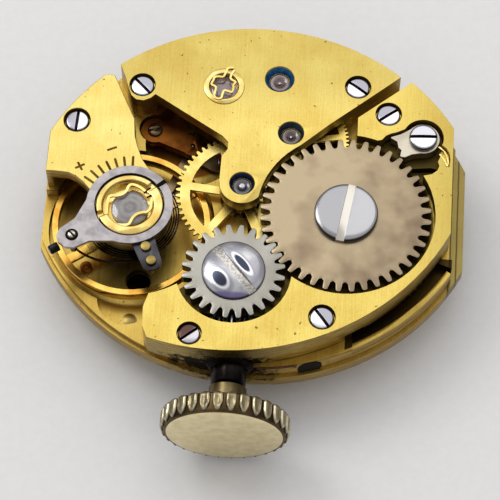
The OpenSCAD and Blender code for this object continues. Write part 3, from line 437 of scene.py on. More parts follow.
CROWN_GOLD = plain_metal("pale_crown_gold", (238, 224, 182), (222, 206, 158), 0.3, scale=2.4)
# Painted shade: the crown's side is dark between its ribs.
CROWN_SIDE_SHADE = plain_metal("shaded_crown_side", (96, 78, 48), (54, 42, 26), 0.36)
CROWN_HUB = plain_metal("olive_crown_hub", (124, 108, 74), (86, 74, 48), 0.32)
RIB_GOLD = crown_rib_gold()
# Painted shade: the pry slot's brown stands for the shade in a gap.
SLOT_SHADE = plain_metal("slot_shade_brown", (112, 62, 30), (66, 36, 18), 0.5)
# Near black: the stem's grease, the dial screw's seat, and pieces of painted shade in the hollow, round the
# stud and in the clasp's and carrier's slots.
PITCH = plain_metal("pitch_black", (26, 22, 18), (12, 10, 8), 0.6)
ORANGE_BROWN = plain_metal("worn_orange_brass", (176, 116, 48), (120, 70, 28), 0.4)
RUBY = glassy("ruby", (176, 60, 92), (120, 22, 50), 0.35)
CENTER_RUBY = glassy("center_ruby", (150, 150, 160), (60, 54, 66), 0.3, centre=CENTER, rings=34.0)
THIRD_RUBY = glassy("third_ruby", (176, 150, 140), (104, 84, 80), 0.35, centre=THIRD, rings=30.0)
FOURTH_RUBY = glassy("fourth_ruby", (206, 178, 172), (120, 92, 92), 0.4, centre=FOURTH, rings=24.0)
CLEAR = glassy("clear_cap_jewel", (206, 200, 196), (126, 118, 116), 0.5, centre=BALANCE, rings=22.0)
ESCAPE_CLEAR = glassy("clear_escape_jewel", (196, 176, 172), (150, 126, 124), 0.5, centre=ESCAPE, rings=22.0)
VIVID_BLUE = enamel("vivid_blue_sink", (40, 112, 160), (16, 66, 112))
SLATE_BLUE = enamel("slate_blue_sink", (60, 78, 90), (34, 48, 60))
NAVY = enamel("navy_sink", (34, 52, 96), (14, 24, 54))
# Painted shade: the dark colour of the engraved marks.
ENGRAVING_SHADE = plain_metal("engraved_cut_shade", (120, 92, 34), (66, 48, 16), 0.5)


# Geometry made in the script, in millimetres
def linked(name, data):
    """New object of the scene."""
    made = bpy.data.objects.new(name, data)
    bpy.context.scene.collection.objects.link(made)
    return made


def object_from(name, mesh, finish, corner=35):
    """Piece with its finish, shaded smooth up to a corner in degrees."""
    mesh.materials.clear()
    mesh.materials.append(finish)
    mesh.polygons.foreach_set("use_smooth", [True] * len(mesh.polygons))
    mesh.set_sharp_from_angle(angle=radians(corner))
    return linked(name, mesh)


def closed(name, verts, faces):
    """Mesh with its doubles merged and its faces turned outwards."""
    mesh = bpy.data.meshes.new(name)
    bm = bmesh.new()
    made = [bm.verts.new(Vector(v) * MM) for v in verts]
    for face in faces:
        bm.faces.new([made[i] for i in face])
    bmesh.ops.remove_doubles(bm, verts=bm.verts, dist=1e-8)
    bmesh.ops.recalc_face_normals(bm, faces=bm.faces)
    bm.to_mesh(mesh)
    bm.free()
    return mesh


def turned(name, profile, centre=(0, 0), steps=72, axis="Z"):
    """Solid of revolution from a profile of (radius, height), at a centre of two or three numbers."""
    verts, faces, rows = [], [], []
    for radius, height in profile:
        if radius < 1e-6:
            rows.append([len(verts)] * steps)
            verts.append((0, 0, height))
        else:
            rows.append(list(range(len(verts), len(verts) + steps)))
            verts += [(radius * cos(a), radius * sin(a), height)
                      for a in (tau * i / steps for i in range(steps))]
    for low, high in zip(rows, rows[1:]):
        for i in range(steps):
            j = (i + 1) % steps
            corners = [low[i], low[j], high[j], high[i]]
            corners = [c for k, c in enumerate(corners) if c not in corners[:k]]
            if len(corners) > 2:
                faces.append(corners)
    if axis == "Y":
        verts = [(x, -z, y) for x, y, z in verts]
    across, along, rise = (*centre, 0)[:3]
    return closed(name, [(x + across, y + along, z + rise) for x, y, z in verts], faces)


def lathed(name, profile, centre, finish, steps=72, axis="Z"):
    """Turned piece with its finish."""
    return object_from(name, turned(name, profile, centre, steps, axis), finish)


def point_at(centre, reach, degrees, across=0.0):
    """Point (x, y) at a reach from a centre on a bearing, and a little across it."""
    a = radians(degrees)
    return (centre[0] + reach * cos(a) - across * sin(a),
            centre[1] + reach * sin(a) + across * cos(a))


def tipped(mesh, place, axis, degrees=0.0):
    """Tips a mesh over by a quarter turn, turns it about Z and moves it to its place."""
    mesh.transform(Matrix.Translation(Vector(place) * MM) @ Matrix.Rotation(radians(degrees), 4, "Z")
                   @ Matrix.Rotation(pi / 2, 4, axis))
    return mesh


def result_of(host, name):
    """Plain mesh of an object as its modifiers leave it."""
    bpy.context.view_layer.update()
    graph = bpy.context.evaluated_depsgraph_get()
    mesh = bpy.data.meshes.new_from_object(host.evaluated_get(graph))
    mesh.name = name
    bpy.data.objects.remove(host)
    return mesh


def tree_of(name, inputs):
    """Empty geometry tree with named inputs of (kind, default)."""
    tree = bpy.data.node_groups.new(name, "GeometryNodeTree")
    for way in ("OUTPUT", "INPUT"):
        tree.interface.new_socket("Geometry", in_out=way, socket_type="NodeSocketGeometry")
    for label, (kind, default) in inputs.items():
        socket = tree.interface.new_socket(label, in_out="INPUT", socket_type="NodeSocket" + kind)
        if default is not None:
            socket.default_value = default
    graph = Graph(tree)
    source = tree.nodes.new("NodeGroupInput")
    wires = {output.name: Wire(graph, output) for output in source.outputs if output.name}
    return graph, wires


def finish_tree(graph, shape, finish):
    """Ends a tree in Realize Instances and Set Material."""
    real = graph.node("GeometryNodeRealizeInstances", None, {0: shape})
    done = graph.node("GeometryNodeSetMaterial", None, {"Geometry": real, "Material": finish})
    return graph.end("NodeGroupOutput", done)


def grown(name, tree, host_mesh, values, finish, corner=35):
    """Runs a geometry tree on a host mesh and keeps the result as a plain piece."""
    host = linked(name + "_host", host_mesh)
    step = host.modifiers.new("grow", "NODES")
    step.node_group = tree
    for item in tree.interface.items_tree:
        if item.item_type == "SOCKET" and item.in_out == "INPUT" and item.name in values:
            step[item.identifier] = values[item.name]
    return object_from(name, result_of(host, name), finish, corner)


def swept_tree():
    """A rectangular strip led along the edges of the host."""
    g, wire = tree_of("swept_strip", {
        "Width": ("Float", 0.05 * MM), "Height": ("Float", 0.1 * MM), "Finish": ("Material", None)})
    path = g.node("GeometryNodeMeshToCurve", None, {0: wire["Geometry"]})
    path = g.node("GeometryNodeSetCurveNormal", {"mode": "Z_UP"}, {0: path})
    profile = g.node("GeometryNodeCurvePrimitiveQuadrilateral", None, {
        "Width": wire["Width"], "Height": wire["Height"]})
    solid = g.node("GeometryNodeCurveToMesh", None, {
        "Curve": path, "Profile Curve": profile, "Fill Caps": True})
    return finish_tree(g, solid, wire["Finish"])


def ring_tree():
    """The host repeated round its own Z axis."""
    g, wire = tree_of("repeat_round", {"Count": ("Int", 30), "Finish": ("Material", None)})
    circle = g.node("GeometryNodeMeshCircle", None, {"Vertices": wire["Count"], "Radius": 1.0 * MM})
    turn = g.joined(0.0, 0.0, g.node("GeometryNodeInputIndex") / wire["Count"] * tau)
    centred = g.node("GeometryNodeSetPosition", None, {"Geometry": circle, "Position": g.joined(0.0, 0.0, 0.0)})
    copies = g.node("GeometryNodeInstanceOnPoints", None, {
        "Points": centred, "Instance": wire["Geometry"], "Rotation": turn})
    return finish_tree(g, copies, wire["Finish"])


def scatter_tree():
    """The host repeated on placed points, each with its own turn about Z."""
    g, wire = tree_of("repeat_on_points", {"Shape": ("Object", None), "Finish": ("Material", None)})
    turn = g.node("GeometryNodeInputNamedAttribute", {"data_type": "FLOAT"}, {"Name": "turn"})
    shape = g.node("GeometryNodeObjectInfo", None, {"Object": wire["Shape"]}, out=4)
    copies = g.node("GeometryNodeInstanceOnPoints", None, {
        "Points": wire["Geometry"], "Instance": shape, "Rotation": g.joined(0.0, 0.0, turn)})
    return finish_tree(g, copies, wire["Finish"])


def soften_tree():
    """Loose triangles welded and shaded smooth, ready for a bevel."""
    g, wire = tree_of("weld_and_smooth", {"Distance": ("Float", 0.0004 * MM)})
    welded = g.node("GeometryNodeMergeByDistance", None, {
        "Geometry": wire["Geometry"], "Distance": wire["Distance"]})
    return g.end("NodeGroupOutput", g.node("GeometryNodeSetShadeSmooth", None, {0: welded}))


SWEPT, ROUND, PLACED, SOFTEN = swept_tree(), ring_tree(), scatter_tree(), soften_tree()


def strip(name, points, width, height, finish, loop=False):
    """Flat strip along points (x, y, z)."""
    edges = [(i, i + 1) for i in range(len(points) - 1)] + ([(len(points) - 1, 0)] if loop else [])
    path = bpy.data.meshes.new(name + "_path")
    path.from_pydata([Vector(p) * MM for p in points], edges, [])
    return grown(name, SWEPT, path, {"Width": width * MM, "Height": height * MM, "Finish": finish}, finish)


def bevel_step(made, width, segments=2, corner=35):
    """Adds a bevel, in millimetres, to edges sharper than a corner in degrees."""
    step = made.modifiers.new("edge", "BEVEL")
    step.width, step.segments, step.limit_method = width * MM, segments, "ANGLE"
    step.angle_limit = radians(corner)


def bevelled(name, mesh, finish, width, segments=2, corner=35):
    """Piece with its finish and rounded edges."""
    raw = object_from(name + "_raw", mesh, finish)
    bevel_step(raw, width, segments, corner)
    return object_from(name, result_of(raw, name), finish)


def prism(name, outline, low, high):
    """Mesh of an outline (x, y) pulled from low to high."""
    mesh = bpy.data.meshes.new(name)
    bm = bmesh.new()
    base = bm.faces.new([bm.verts.new(Vector((x, y, low)) * MM) for x, y in outline])
    grown_up = bmesh.ops.extrude_face_region(bm, geom=[base])
    bmesh.ops.translate(bm, vec=(0, 0, (high - low) * MM),
                        verts=[v for v in grown_up["geom"] if isinstance(v, bmesh.types.BMVert)])
    bmesh.ops.recalc_face_normals(bm, faces=bm.faces)
    bm.to_mesh(mesh)
    bm.free()
    return mesh


def rectangle(half_x, half_y):
    """Outline round the origin."""
    return [(-half_x, -half_y), (half_x, -half_y), (half_x, half_y), (-half_x, half_y)]


def remember(mesh, name, rule):
    """Stores rule(x, y, z), in millimetres, on each point under a name."""
    layer = mesh.attributes.new(name, "FLOAT", "POINT")
    layer.data.foreach_set("value", [rule(*(point.co / MM)) for point in mesh.vertices])


def band(name, centre, inner, outer, start, end, low, high, steps=48):
    """Curved bar between two radii and two angles in degrees."""
    angles = [start + (end - start) * i / steps for i in range(steps + 1)]
    outline = [point_at(centre, outer, a) for a in angles]
    outline += [point_at(centre, inner, a) for a in reversed(angles)]
    return prism(name, outline, low, high)


def toothed(name, centre, teeth, tip, root, phase, bore):
    """Winding wheel with near-parallel teeth, rounded at their tips and between them."""
    step = tau / teeth
    half_root = root * step / 2
    side = [(root, half_root), (root, half_root * 0.93), (root + 0.02, half_root - 0.045), (root + 0.06, 0.158),
            (root + 0.12, 0.14), (root + 0.22, 0.128), (tip - 0.1, 0.113), (tip - 0.05, 0.102),
            (tip - 0.02, 0.08), (tip, 0.045)]
    rim = []
    for k in range(teeth):
        middle = radians(phase) + k * step
        rim += [(r, middle - t / r) for r, t in side] + [(r, middle + t / r) for r, t in reversed(side[1:])]
    rings = [[(r, a) for _, a in rim] for r in (bore, bore + 0.12, root - 0.14)] + [rim]
    verts, faces, count, rows = [], [], len(rim), len(rings)
    for height in (WHEEL_LOW, WHEEL_TOP):
        for ring in rings:
            verts += [(centre[0] + r * cos(a), centre[1] + r * sin(a), height) for r, a in ring]
    for i in range(count):
        j = (i + 1) % count
        for row in range(rows - 1):
            for start in (row * count, (rows + row) * count):
                faces.append((start + i, start + j, start + count + j, start + count + i))
        for start in (0, (rows - 1) * count):
            faces.append((start + i, start + j, start + rows * count + j, start + rows * count + i))
    return closed(name, verts, faces)


def slotted(name, radius, head, dome, edge, shank, length, slot_width, slot_depth):
    """Screw with a crowned, slotted head. Its head's crown is at height 0 and its slot lies along X."""
    rise = [(radius * k / 10, -dome * (k / 10) ** 2.2) for k in range(10)]
    profile = rise + [(radius - edge, -dome), (radius - edge * 0.3, -dome - edge * 0.3), (radius, -dome - edge),
                      (radius, -head), (shank, -head), (shank, -head - length), (0, -head - length)]
    body = linked(name, turned(name, profile, steps=80))
    box = prism(name + "_slot", rectangle(radius + 1, slot_width / 2), -slot_depth, 1)
    cutter = linked(name + "_slot", box)
    cut = body.modifiers.new("slot", "BOOLEAN")
    cut.operation, cut.object, cut.solver = "DIFFERENCE", cutter, "EXACT"
    bevel_step(body, 0.012, 2, 50)
    mesh = result_of(body, name)
    bpy.data.objects.remove(cutter)
    local = mesh.attributes.new("local", "FLOAT_VECTOR", "POINT")
    local.data.foreach_set("vector", [v for point in mesh.vertices for v in point.co / MM])
    return mesh


def screws(name, mesh, places, finish):
    """One piece with the same screw at each place (x, y, z, turn in degrees)."""
    shape = linked(name + "_shape", mesh)
    points = bpy.data.meshes.new(name + "_points")
    points.from_pydata([Vector(p[:3]) * MM for p in places], [], [])
    turns = points.attributes.new("turn", "FLOAT", "POINT")
    turns.data.foreach_set("value", [radians(p[3]) for p in places])
    made = grown(name, PLACED, points, {"Shape": shape, "Finish": finish}, finish, 40)
    bpy.data.objects.remove(shape)
    return made


def kept(made, body, slot, *nodes):
    """Rides on its body and stands for its nodes; its slot is not used."""
    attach(made, body)
    if nodes:
        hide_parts(*nodes)
    return made


def on_plates(made, slot, *nodes):
    """Fixed to the plate and its bridges."""
    return kept(made, "plates", slot, *nodes)


# Finishes and edge radii of the carried parts
CARRIED = [
    (PLATE, 0.03, "main_plate"), (BARREL_BRIDGE, 0.035, "barrel_bridge"), (TRAIN_BRIDGE, 0.035, "train_bridge"),
    (COCK, 0.035, "balance_cock"), (SHADED_GILT, 0.02, "pallet_cock"), (SHADED_SCREW_STEEL, 0, "small_screws"),
    (DARK_STEEL, 0.02, "crown_wheel_core regulator"), (RUBY, 0.02, "lower_jewels"),
    (RUBY, 0.01, "pallet_stones"), (RUBY, 0.008, "impulse_jewel"), (SETTING_GILT, 0.02, "escape_cap_setting"),
    (SETTING_GILT, 0.03, "balance_lower_setting"), (STEEL, 0, "mainspring"),
    (STEEL, 0.006, "third_pinion fourth_pinion escape_pinion"), (STEEL, 0.008, "setting_wheel"),
    (STEEL, 0.01, "banking_pins center_pinion cannon_pinion winding_pinion sliding_clutch"),
    (STEEL, 0.012, "cover_plate setting_lever yoke"), (STEEL, 0.02, "barrel_arbor hairspring_stud"),
    (DEEP_STEEL, 0.006, "pallet_arbor balance_staff"), (DEEP_STEEL, 0.008, "escape_wheel"),
    (DEEP_STEEL, 0.01, "pallet_fork roller"),
    (WHEEL_GILT, 0.008, "third_wheel fourth_wheel minute_wheel hour_wheel"),
    (WHEEL_GILT, 0.01, "center_wheel"), (WHEEL_GILT, 0.012, "barrel_drum"), (WHEEL_GILT, 0.02, "barrel_cover"),
    (RIM_GILT, 0.03, "balance_wheel"), (CLICK_STEEL, 0.025, "click"), (STUD_STEEL, 0.025, "stud_carrier"),
    (DULL_BRASS, 0.02, "curb_pins"), (SPRING_GILT, 0.015, "click_spring")]
for finish, edge, nodes in CARRIED:
    for part in (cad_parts[node] for node in nodes.split()):
        part.data.materials.clear()
        part.data.materials.append(finish)
        part.modifiers.new("weld", "NODES").node_group = SOFTEN
        flat = part.modifiers.new("flat", "DECIMATE")
        flat.decimate_type, flat.angle_limit = "DISSOLVE", radians(0.6)
        if edge:
            bevel_step(part, edge)
        part.modifiers.new("shade", "WEIGHTED_NORMAL").keep_sharp = False

# Screws: radius, head, crown, edge, shank, length, slot's width and depth of each form
for name, form, places, finish, body, slot, node in [
        ("bridge_screws_polished", (0.5, 0.36, 0.03, 0.06, 0.28, 1.75, 0.13, 0.16),
         [(x, y, BRIDGE_TOP - 0.06, turn) for x, y, turn in BRIDGE_SCREWS], SCREW,
         "plates", "polished", "bridge_screws"),
        ("ratchet_screw_polished", (1.34, 0.28, 0.05, 0.1, 0.22, 0.85, 0.34, 0.15),
         [(*BARREL, WHEEL_TOP + 0.3, 81)], RATCHET_SCREW, "ratchet", "polished", "ratchet_screw"),
        ("crown_wheel_screw_domed", (1.33, 0.27, 0.2, 0.05, 0.28, 0.8, 0.34, 0.17),
         [(*CROWN_WHEEL, WHEEL_TOP + 0.3, -48)], CROWN_SCREW, "plates", "polished", "crown_wheel_screw"),
        ("click_screw_polished", (0.6, 0.2, 0.03, 0.05, 0.21, 1.1, 0.15, 0.13),
         [(*CLICK, WHEEL_TOP + 0.22, 3)], CLICK_SCREW, "plates", "polished", "click_screw"),
        ("setting_lever_screw_browned", (0.45, 0.32, 0.03, 0.05, 0.26, 2.5, 0.12, 0.16),
         [(*LEVER, BRIDGE_TOP - 0.04, 40)], BROWN_SCREW, "plates", "dark_steel", "setting_lever_screw")]:
    kept(screws(name, slotted(name + "_form", *form), places, finish), body, slot, node)

# Winding wheels with rounded teeth
for name, finish, body, node, values in [
        ("ratchet_wheel_clouded", RATCHET, "ratchet", "ratchet_wheel", (BARREL, 40, 3.6, 3.175, 60.6, 0.5)),
        ("crown_wheel_clouded", CROWN_STEEL, "crown_wheel_body", "crown_wheel",
         (CROWN_WHEEL, 24, 2.16, 1.755, 54.4569, 1.03))]:
    kept(bevelled(name, toothed(name, *values), finish, 0.02, 2, 50), body, "steel", node)

# Jewels with their oil cups, and the blued sinks round them
for name, centre, radius, bore, wide, finish, blue, nodes in [
        ("center", CENTER, 0.38, 0.14, 0.55, CENTER_RUBY, NAVY, ["train_jewels"]),
        ("third", THIRD, 0.38, 0.08, 0.57, THIRD_RUBY, SLATE_BLUE, []),
        ("fourth", FOURTH, 0.42, 0.08, 0.65, FOURTH_RUBY, VIVID_BLUE, [])]:
    low, top = SLAB + 0.02, SLAB + 0.28
    jewel = [(bore, low), (radius, low), (radius, top - 0.03), (radius - 0.03, top), (radius * 0.72, top),
             (radius * 0.5, top - 0.05), (radius * 0.3, top - 0.1), (bore, top - 0.12), (bore, low)]
    on_plates(lathed(name + "_jewel", jewel, centre, finish, 48), "ruby", *nodes)
    wall = [(radius + (wide - radius) * (k / 6) ** 1.6, 2.635 + 0.3 * k / 6) for k in range(7)]
    shell = [*wall, (wide + 0.01, 2.945), (wide + 0.03, 2.93)]
    shell += [(r + 0.012, z - 0.012) for r, z in reversed(wall)]
    on_plates(lathed(name + "_sink", shell + [wall[0]], centre, blue, 64), "blued")
kept(lathed("center_pivot_dome", [(0, 2.4), (0.13, 2.4), (0.13, 2.6), (0.1, 2.66), (0.05, 2.69), (0, 2.7)],
            CENTER, STEEL, 32), "center", "steel")

# Shock setting of the balance: bowl, two ring halves, cap jewel
bowl = [(0.1, 2.36), (1.44, 2.36), (1.44, 3.02), (1.40, 3.06), (1.16, 3.06), (1.13, RING_Z), (1.12, 2.78),
        (0.1, 2.76), (0.1, 2.36)]
on_plates(lathed("balance_setting_bowl", bowl, BALANCE, SETTING_GILT, 96), "gilt", "balance_upper_setting")
for name, inner, start, end, top in [("setting_ring_upper", 1.15, 53, 198, 3.23),
                                     ("setting_ring_lower", 1.0, 208, 402, 3.22)]:
    ring = band(name, BALANCE, inner, 1.405, start, end, RING_Z, top)
    on_plates(bevelled(name, ring, SETTING_GILT, 0.05, 3), "gilt")
cap = [(0, 2.78), (0.77, 2.78), (0.78, 2.8), (0.78, 2.92), (0.7, 2.95), (0.5, 2.975), (0.28, 2.985), (0, 2.99)]
on_plates(lathed("balance_cap_jewel", cap, BALANCE, CLEAR, 64), "clear_jewel", "cap_jewels")
cap = [(0, 2.64), (0.62, 2.64), (0.62, 2.72), (0.5, 2.76), (0.3, 2.785), (0, 2.8)]
on_plates(lathed("escape_cap_jewel", cap, ESCAPE, ESCAPE_CLEAR, 48), "clear_jewel")

# Springs that hold the cap jewels
LYRE = [(0.94, 0.67), (0.64, 0.7), (0.44, 0.85), (0.19, 0.97), (-0.02, 1.0), (-0.13, 0.89), (-0.19, 0.7),
        (-0.34, 0.53), (-0.56, 0.44), (-0.79, 0.42), (-0.9, 0.34), (-0.93, 0.15), (-0.95, -0.11),
        (-0.93, -0.38), (-0.98, -0.59), (-0.92, -0.69), (-0.66, -0.83), (-0.44, -0.92), (-0.2, -0.93),
        (0.0, -0.89), (0.09, -0.78), (0.18, -0.56), (0.35, -0.37), (0.58, -0.28), (0.76, -0.24), (0.89, -0.04),
        (0.89, 0.22), (0.92, 0.4), (1.02, 0.54)]
STAR = [(0.36, 0.91), (0.12, 0.87), (0.04, 0.67), (-0.06, 0.44), (-0.25, 0.43), (-0.42, 0.39), (-0.48, 0.22),
        (-0.54, 0.02), (-0.36, -0.08), (-0.35, -0.25), (-0.38, -0.53), (-0.25, -0.66), (-0.08, -0.62),
        (-0.03, -0.39), (0.03, -0.25), (0.2, -0.27), (0.35, -0.31), (0.41, -0.14), (0.4, 0.05), (0.48, 0.2),
        (0.33, 0.3), (0.25, 0.4), (0.31, 0.63), (0.39, 0.78)]


def curved(points, z, centre, loop=False):
    """Smooth path through points by Catmull-Rom spans."""
    ends = [points[-1], *points, points[0], points[1]] if loop else [points[0], *points, points[-1]]
    path = []
    for a, b, c, d in zip(ends, ends[1:], ends[2:], ends[3:]):
        for t in (0, 0.2, 0.4, 0.6, 0.8):
            path.append((*(centre[i] + 0.5 * (
                2 * b[i] + (c[i] - a[i]) * t + (2 * a[i] - 5 * b[i] + 4 * c[i] - d[i]) * t * t
                + (3 * b[i] - a[i] - 3 * c[i] + d[i]) * t ** 3) for i in (0, 1)), z))
    return path if loop else path + [(centre[0] + points[-1][0], centre[1] + points[-1][1], z)]


lyre = strip("lyre_spring", curved(LYRE, 3.1, BALANCE, True), 0.11, 0.09, SPRING_GILT, True)
on_plates(lyre, "gilt", "cap_springs")
on_plates(strip("star_spring", curved(STAR, 3.02, ESCAPE), 0.085, 0.07, SPRING_GILT), "gilt")

# Lug and clasp of the lyre spring, with the clasp's two slots drawn as black strips of painted shade
clasp_slots = [[point_at((0, 0), reach, turn, side) for reach, side in
                [(0.8, 0.03), (1.2, 0.03), (1.2, -0.03), (0.8, -0.03)]] for turn in (47, 30)]
for name, outline, low, high, finish, edge, slot in [
        ("lyre_lug", [(-1.16, -0.6), (-0.99, -0.46), (-0.74, -0.68), (-0.67, -0.88), (-0.89, -1.05)],
         3.04, 3.19, SETTING_GILT, 0.03, "gilt"),
        ("lyre_clasp", [(0.63, 0.73), (0.99, 0.89), (1.25, 0.64), (0.97, 0.38)],
         3.04, 3.2, SETTING_GILT, 0.03, "gilt"),
        # Painted shade: black strips stand for the clasp's slots.
        ("clasp_slot_upper", clasp_slots[0], 3.15, 3.206, PITCH, 0.004, "dark_steel"),
        ("clasp_slot_lower", clasp_slots[1], 3.15, 3.206, PITCH, 0.004, "dark_steel")]:
    block = prism(name, [(x + BALANCE[0], y + BALANCE[1]) for x, y in outline], low, high)
    on_plates(bevelled(name, block, finish, edge), slot)

# Hairspring: a flat coil with its end led out to the stud
COILS, INNER, OUTER, LEAD_OUT, COIL_Z, PER_TURN = 16, 0.44, 2.06, 0.1875, 2.105, 48
coil = []
for k in range(int((COILS + LEAD_OUT) * PER_TURN) + 1):
    turn = k / PER_TURN
    radius = INNER + (OUTER - INNER) * min(turn, COILS) / COILS
    if turn > COILS:
        radius += (STUD_R - OUTER) * ((turn - COILS) / LEAD_OUT) ** 1.3
    coil.append((*point_at(BALANCE, radius, STUD_AT + (COILS + LEAD_OUT - turn) * 360), COIL_Z))
kept(strip("hairspring_coil", coil, 0.058, 0.13, BLUED), "balance", "blued", "hairspring")

# Stud: a bright slotted dome in a dark ring of painted shade, its side screw, and the carrier's notch drawn as
# a black strip of painted shade
stud_place = point_at(BALANCE, STUD_R, STUD_AT)
dome = slotted("stud_dome_form", 0.2, 0.12, 0.05, 0.03, 0.14, 0.15, 0.09, 0.1)
kept(screws("stud_dome", dome, [(*stud_place, 3.39, -42)], STUD_SCREW), "stud_holder", "polished")
# Painted shade: a dark ring round the stud.
kept(lathed("stud_dark_seat", [(0.19, 3.25), (0.27, 3.25), (0.27, 3.285), (0.19, 3.285), (0.19, 3.25)],
            stud_place, PITCH, 48), "stud_holder", "dark_steel")
side_screw = turned("stud_side_screw", [(0, 0), (0.2, 0), (0.2, 0.36), (0.16, 0.42), (0, 0.42)], steps=40)
tipped(side_screw, (*point_at(BALANCE, 3.46, STUD_AT, 0.05), 3.01), "Y", STUD_AT)
kept(object_from("stud_side_screw", side_screw, BLACKENED), "stud_holder", "dark_steel", "stud_screw")
# Painted shade: a black strip stands for the carrier's notch.
kept(object_from("carrier_notch", band("carrier_notch", BALANCE, 1.46, 1.85, 36.8, 43.2, 3.2, 3.276, 4), PITCH),
     "stud_holder", "dark_steel")

# Stem with its black collar and square
stem_profile = [
    (0, 3.32), (0.15, 3.32), (0.17, 3.95), (0.2, 3.96), (0.2, 5.58), (0.33, 5.6), (0.33, 6.6), (0.46, 6.6),
    (0.46, 6.9), (0.28, 6.9), (0.28, 7.26), (0.46, 7.26), (0.46, 7.6), (0.7, 7.6), (0.74, 7.64), (0.74, 8.5),
    (0.7, 8.6), (0.62, 8.66), (0.5, 8.7), (0.38, 8.7), (0.38, 9.9), (0, 9.9)]
kept(lathed("stem_turned", stem_profile, (0, 0, STEM_Z), BLACK_COLLAR, 72, "Y"),
     "crown_stem", "dark_steel", "stem")
square = tipped(prism("stem_square", rectangle(0.23, 0.23), 3.94, 5.6), (0, 0, STEM_Z), "X")
kept(bevelled("stem_square", square, STEEL, 0.02), "crown_stem", "steel")

# Crown: side painted dark as shade between the ribs, domed face, hub and ribs
for name, profile, finish, steps, nodes in [
        ("crown_side", [(0.9, 0.2), (0.9, -0.05), (2.36, -0.05), (2.46, -0.02), (CROWN_R, 0.05),
                        (CROWN_R, 0.74), (2.52, 0.79), (2.47, 0.82), (2.42, 0.83), (2.2, 0.83), (0.9, 0.83),
                        (0.9, 0.2)],
         CROWN_SIDE_SHADE, 120, ["crown"]),
        ("crown_face", [(0, 0.5), (2.3, 0.5), (2.4, 0.7), (2.4, 0.835), (2.37, 0.855), (2.25, 0.868),
                        (1.6, 0.885), (0.9, 0.895), (0, 0.9)], CROWN_GOLD, 120, []),
        ("crown_hub", [(0.4, 0.4), (0.4, -1.25), (0.74, -1.25), (0.79, -1.2), (0.79, -0.05), (0.84, 0.0),
                       (0.88, 0.05), (0.88, 0.4), (0.4, 0.4)], CROWN_HUB, 72, [])]:
    kept(lathed(name, profile, CROWN_AT, finish, steps, "Y"), "crown_stem", "crown_gold", *nodes)
RIBS, RIB_WIDE, RIB_TALL, RIB_FOOT, RIB_LONG, RIB_SUNK = 30, 0.225, 0.15, -0.05, 0.88, 0.01


def tapered(t, start):
    """1 up to a share of the rib's length, then falling to 0 at its tip."""
    return 1 if t < start else cos((t - start) / (1 - start) * pi / 2) ** 0.8


def rib_width(t):
    return max(0.004, RIB_WIDE * sin(min(1.0, t / 0.12) * pi / 2) * tapered(t, 0.52))


def rib_mesh():
    """One rib of the crown: a pad with raised rims and a tip towards the face, standing on the radius."""
    rows, across = 14, 12
    verts, faces = [], []
    for i in range(rows + 1):
        t = i / rows
        tall = RIB_TALL * sin(min(1.0, t / 0.2) * pi / 2) * tapered(t, 0.74)
        for j in range(across + 1):
            u = -1 + 2 * j / across
            dish = 1 - 0.34 * (1 - min(1.0, (abs(u) / 0.66) ** 2)) * min(1.0, 2.4 * t, 2.6 * (1 - t))
            verts.append((CROWN_R - RIB_SUNK + tall * (1 - abs(u) ** 6) * dish,
                          rib_width(t) * u, RIB_FOOT + RIB_LONG * t))
    for a in (i * (across + 1) + j for i in range(rows) for j in range(across)):
        faces.append((a, a + 1, a + across + 2, a + across + 1))
    mesh = closed("crown_rib_form", verts, faces)

    def rim(x, y, z):
        t = (z - RIB_FOOT) / RIB_LONG
        return max(abs(y) / rib_width(t), 1.6 * t - 0.75, 1 - 6 * t)
    # rim and tall are stored to place the rib's painted highlight and painted shade.
    remember(mesh, "rim", rim)
    remember(mesh, "tall", lambda x, y, z: (x - CROWN_R + RIB_SUNK) / RIB_TALL)
    return mesh


ribs = grown("crown_ribs", ROUND, rib_mesh(), {"Count": RIBS, "Finish": RIB_GOLD}, RIB_GOLD, 60)
tipped(ribs.data, CROWN_AT, "X")
kept(ribs, "crown_stem", "crown_gold")

# Small things on the plate: window sill and lintel, flange web, a black disc of painted shade in the hollow,
# pin, tube, screw seat, and the pry slot as a thin strip of painted shade
for name, centre, inner, outer, start, end, low, high in [
        ("window_sill", SEAT, 9.64, 9.89, -62.9, -30.8, 1.0, PLATE_TOP),
        ("window_lintel", (-0.59, 2.71), 10.2, 10.45, -54.7, -27.5, 1.74, 1.91),
        ("flange_web", SEAT, 9.96, 10.04, -112.0, -82.0, 0.02, 0.46)]:
    bar = band(name, centre, inner, outer, start, end, low, high)
    on_plates(bevelled(name, bar, EDGE_GILT, 0.02), "gilt")
for name, profile, centre, finish, slot in [
        # Painted shade: a black disc in the hollow.
        ("hollow_plug", [(0, 0.04), (0.52, 0.04), (0.52, 0.1), (0.2, 0.12), (0, 0.12)],
         HOLLOW, PITCH, "dark_steel"),
        ("pin_head", [(0, 0.46), (0.32, 0.46), (0.32, 0.52), (0.25, 0.53), (0.24, 0.56), (0.08, 0.6), (0, 0.6)],
         (-4.39, -5.55), DULL_BRASS, "gilt"),
        ("foot_tube", [(0.1, 0.44), (0.25, 0.44), (0.25, 0.6), (0.22, 0.62), (0.12, 0.62), (0.1, 0.6),
                       (0.1, 0.44)], (-6.44, -3.2), ORANGE_BROWN, "gilt")]:
    on_plates(lathed(name, profile, centre, finish, 40), slot)
seat = turned("dial_screw_seat", [(0, 0), (0.52, 0), (0.52, 0.02), (0, 0.02)], steps=48)
tipped(seat, (*point_at(SEAT, WALL_R, -73.7), 0.97), "Y", -73.7)
on_plates(object_from("dial_screw_seat", seat, PITCH), "dark_steel")
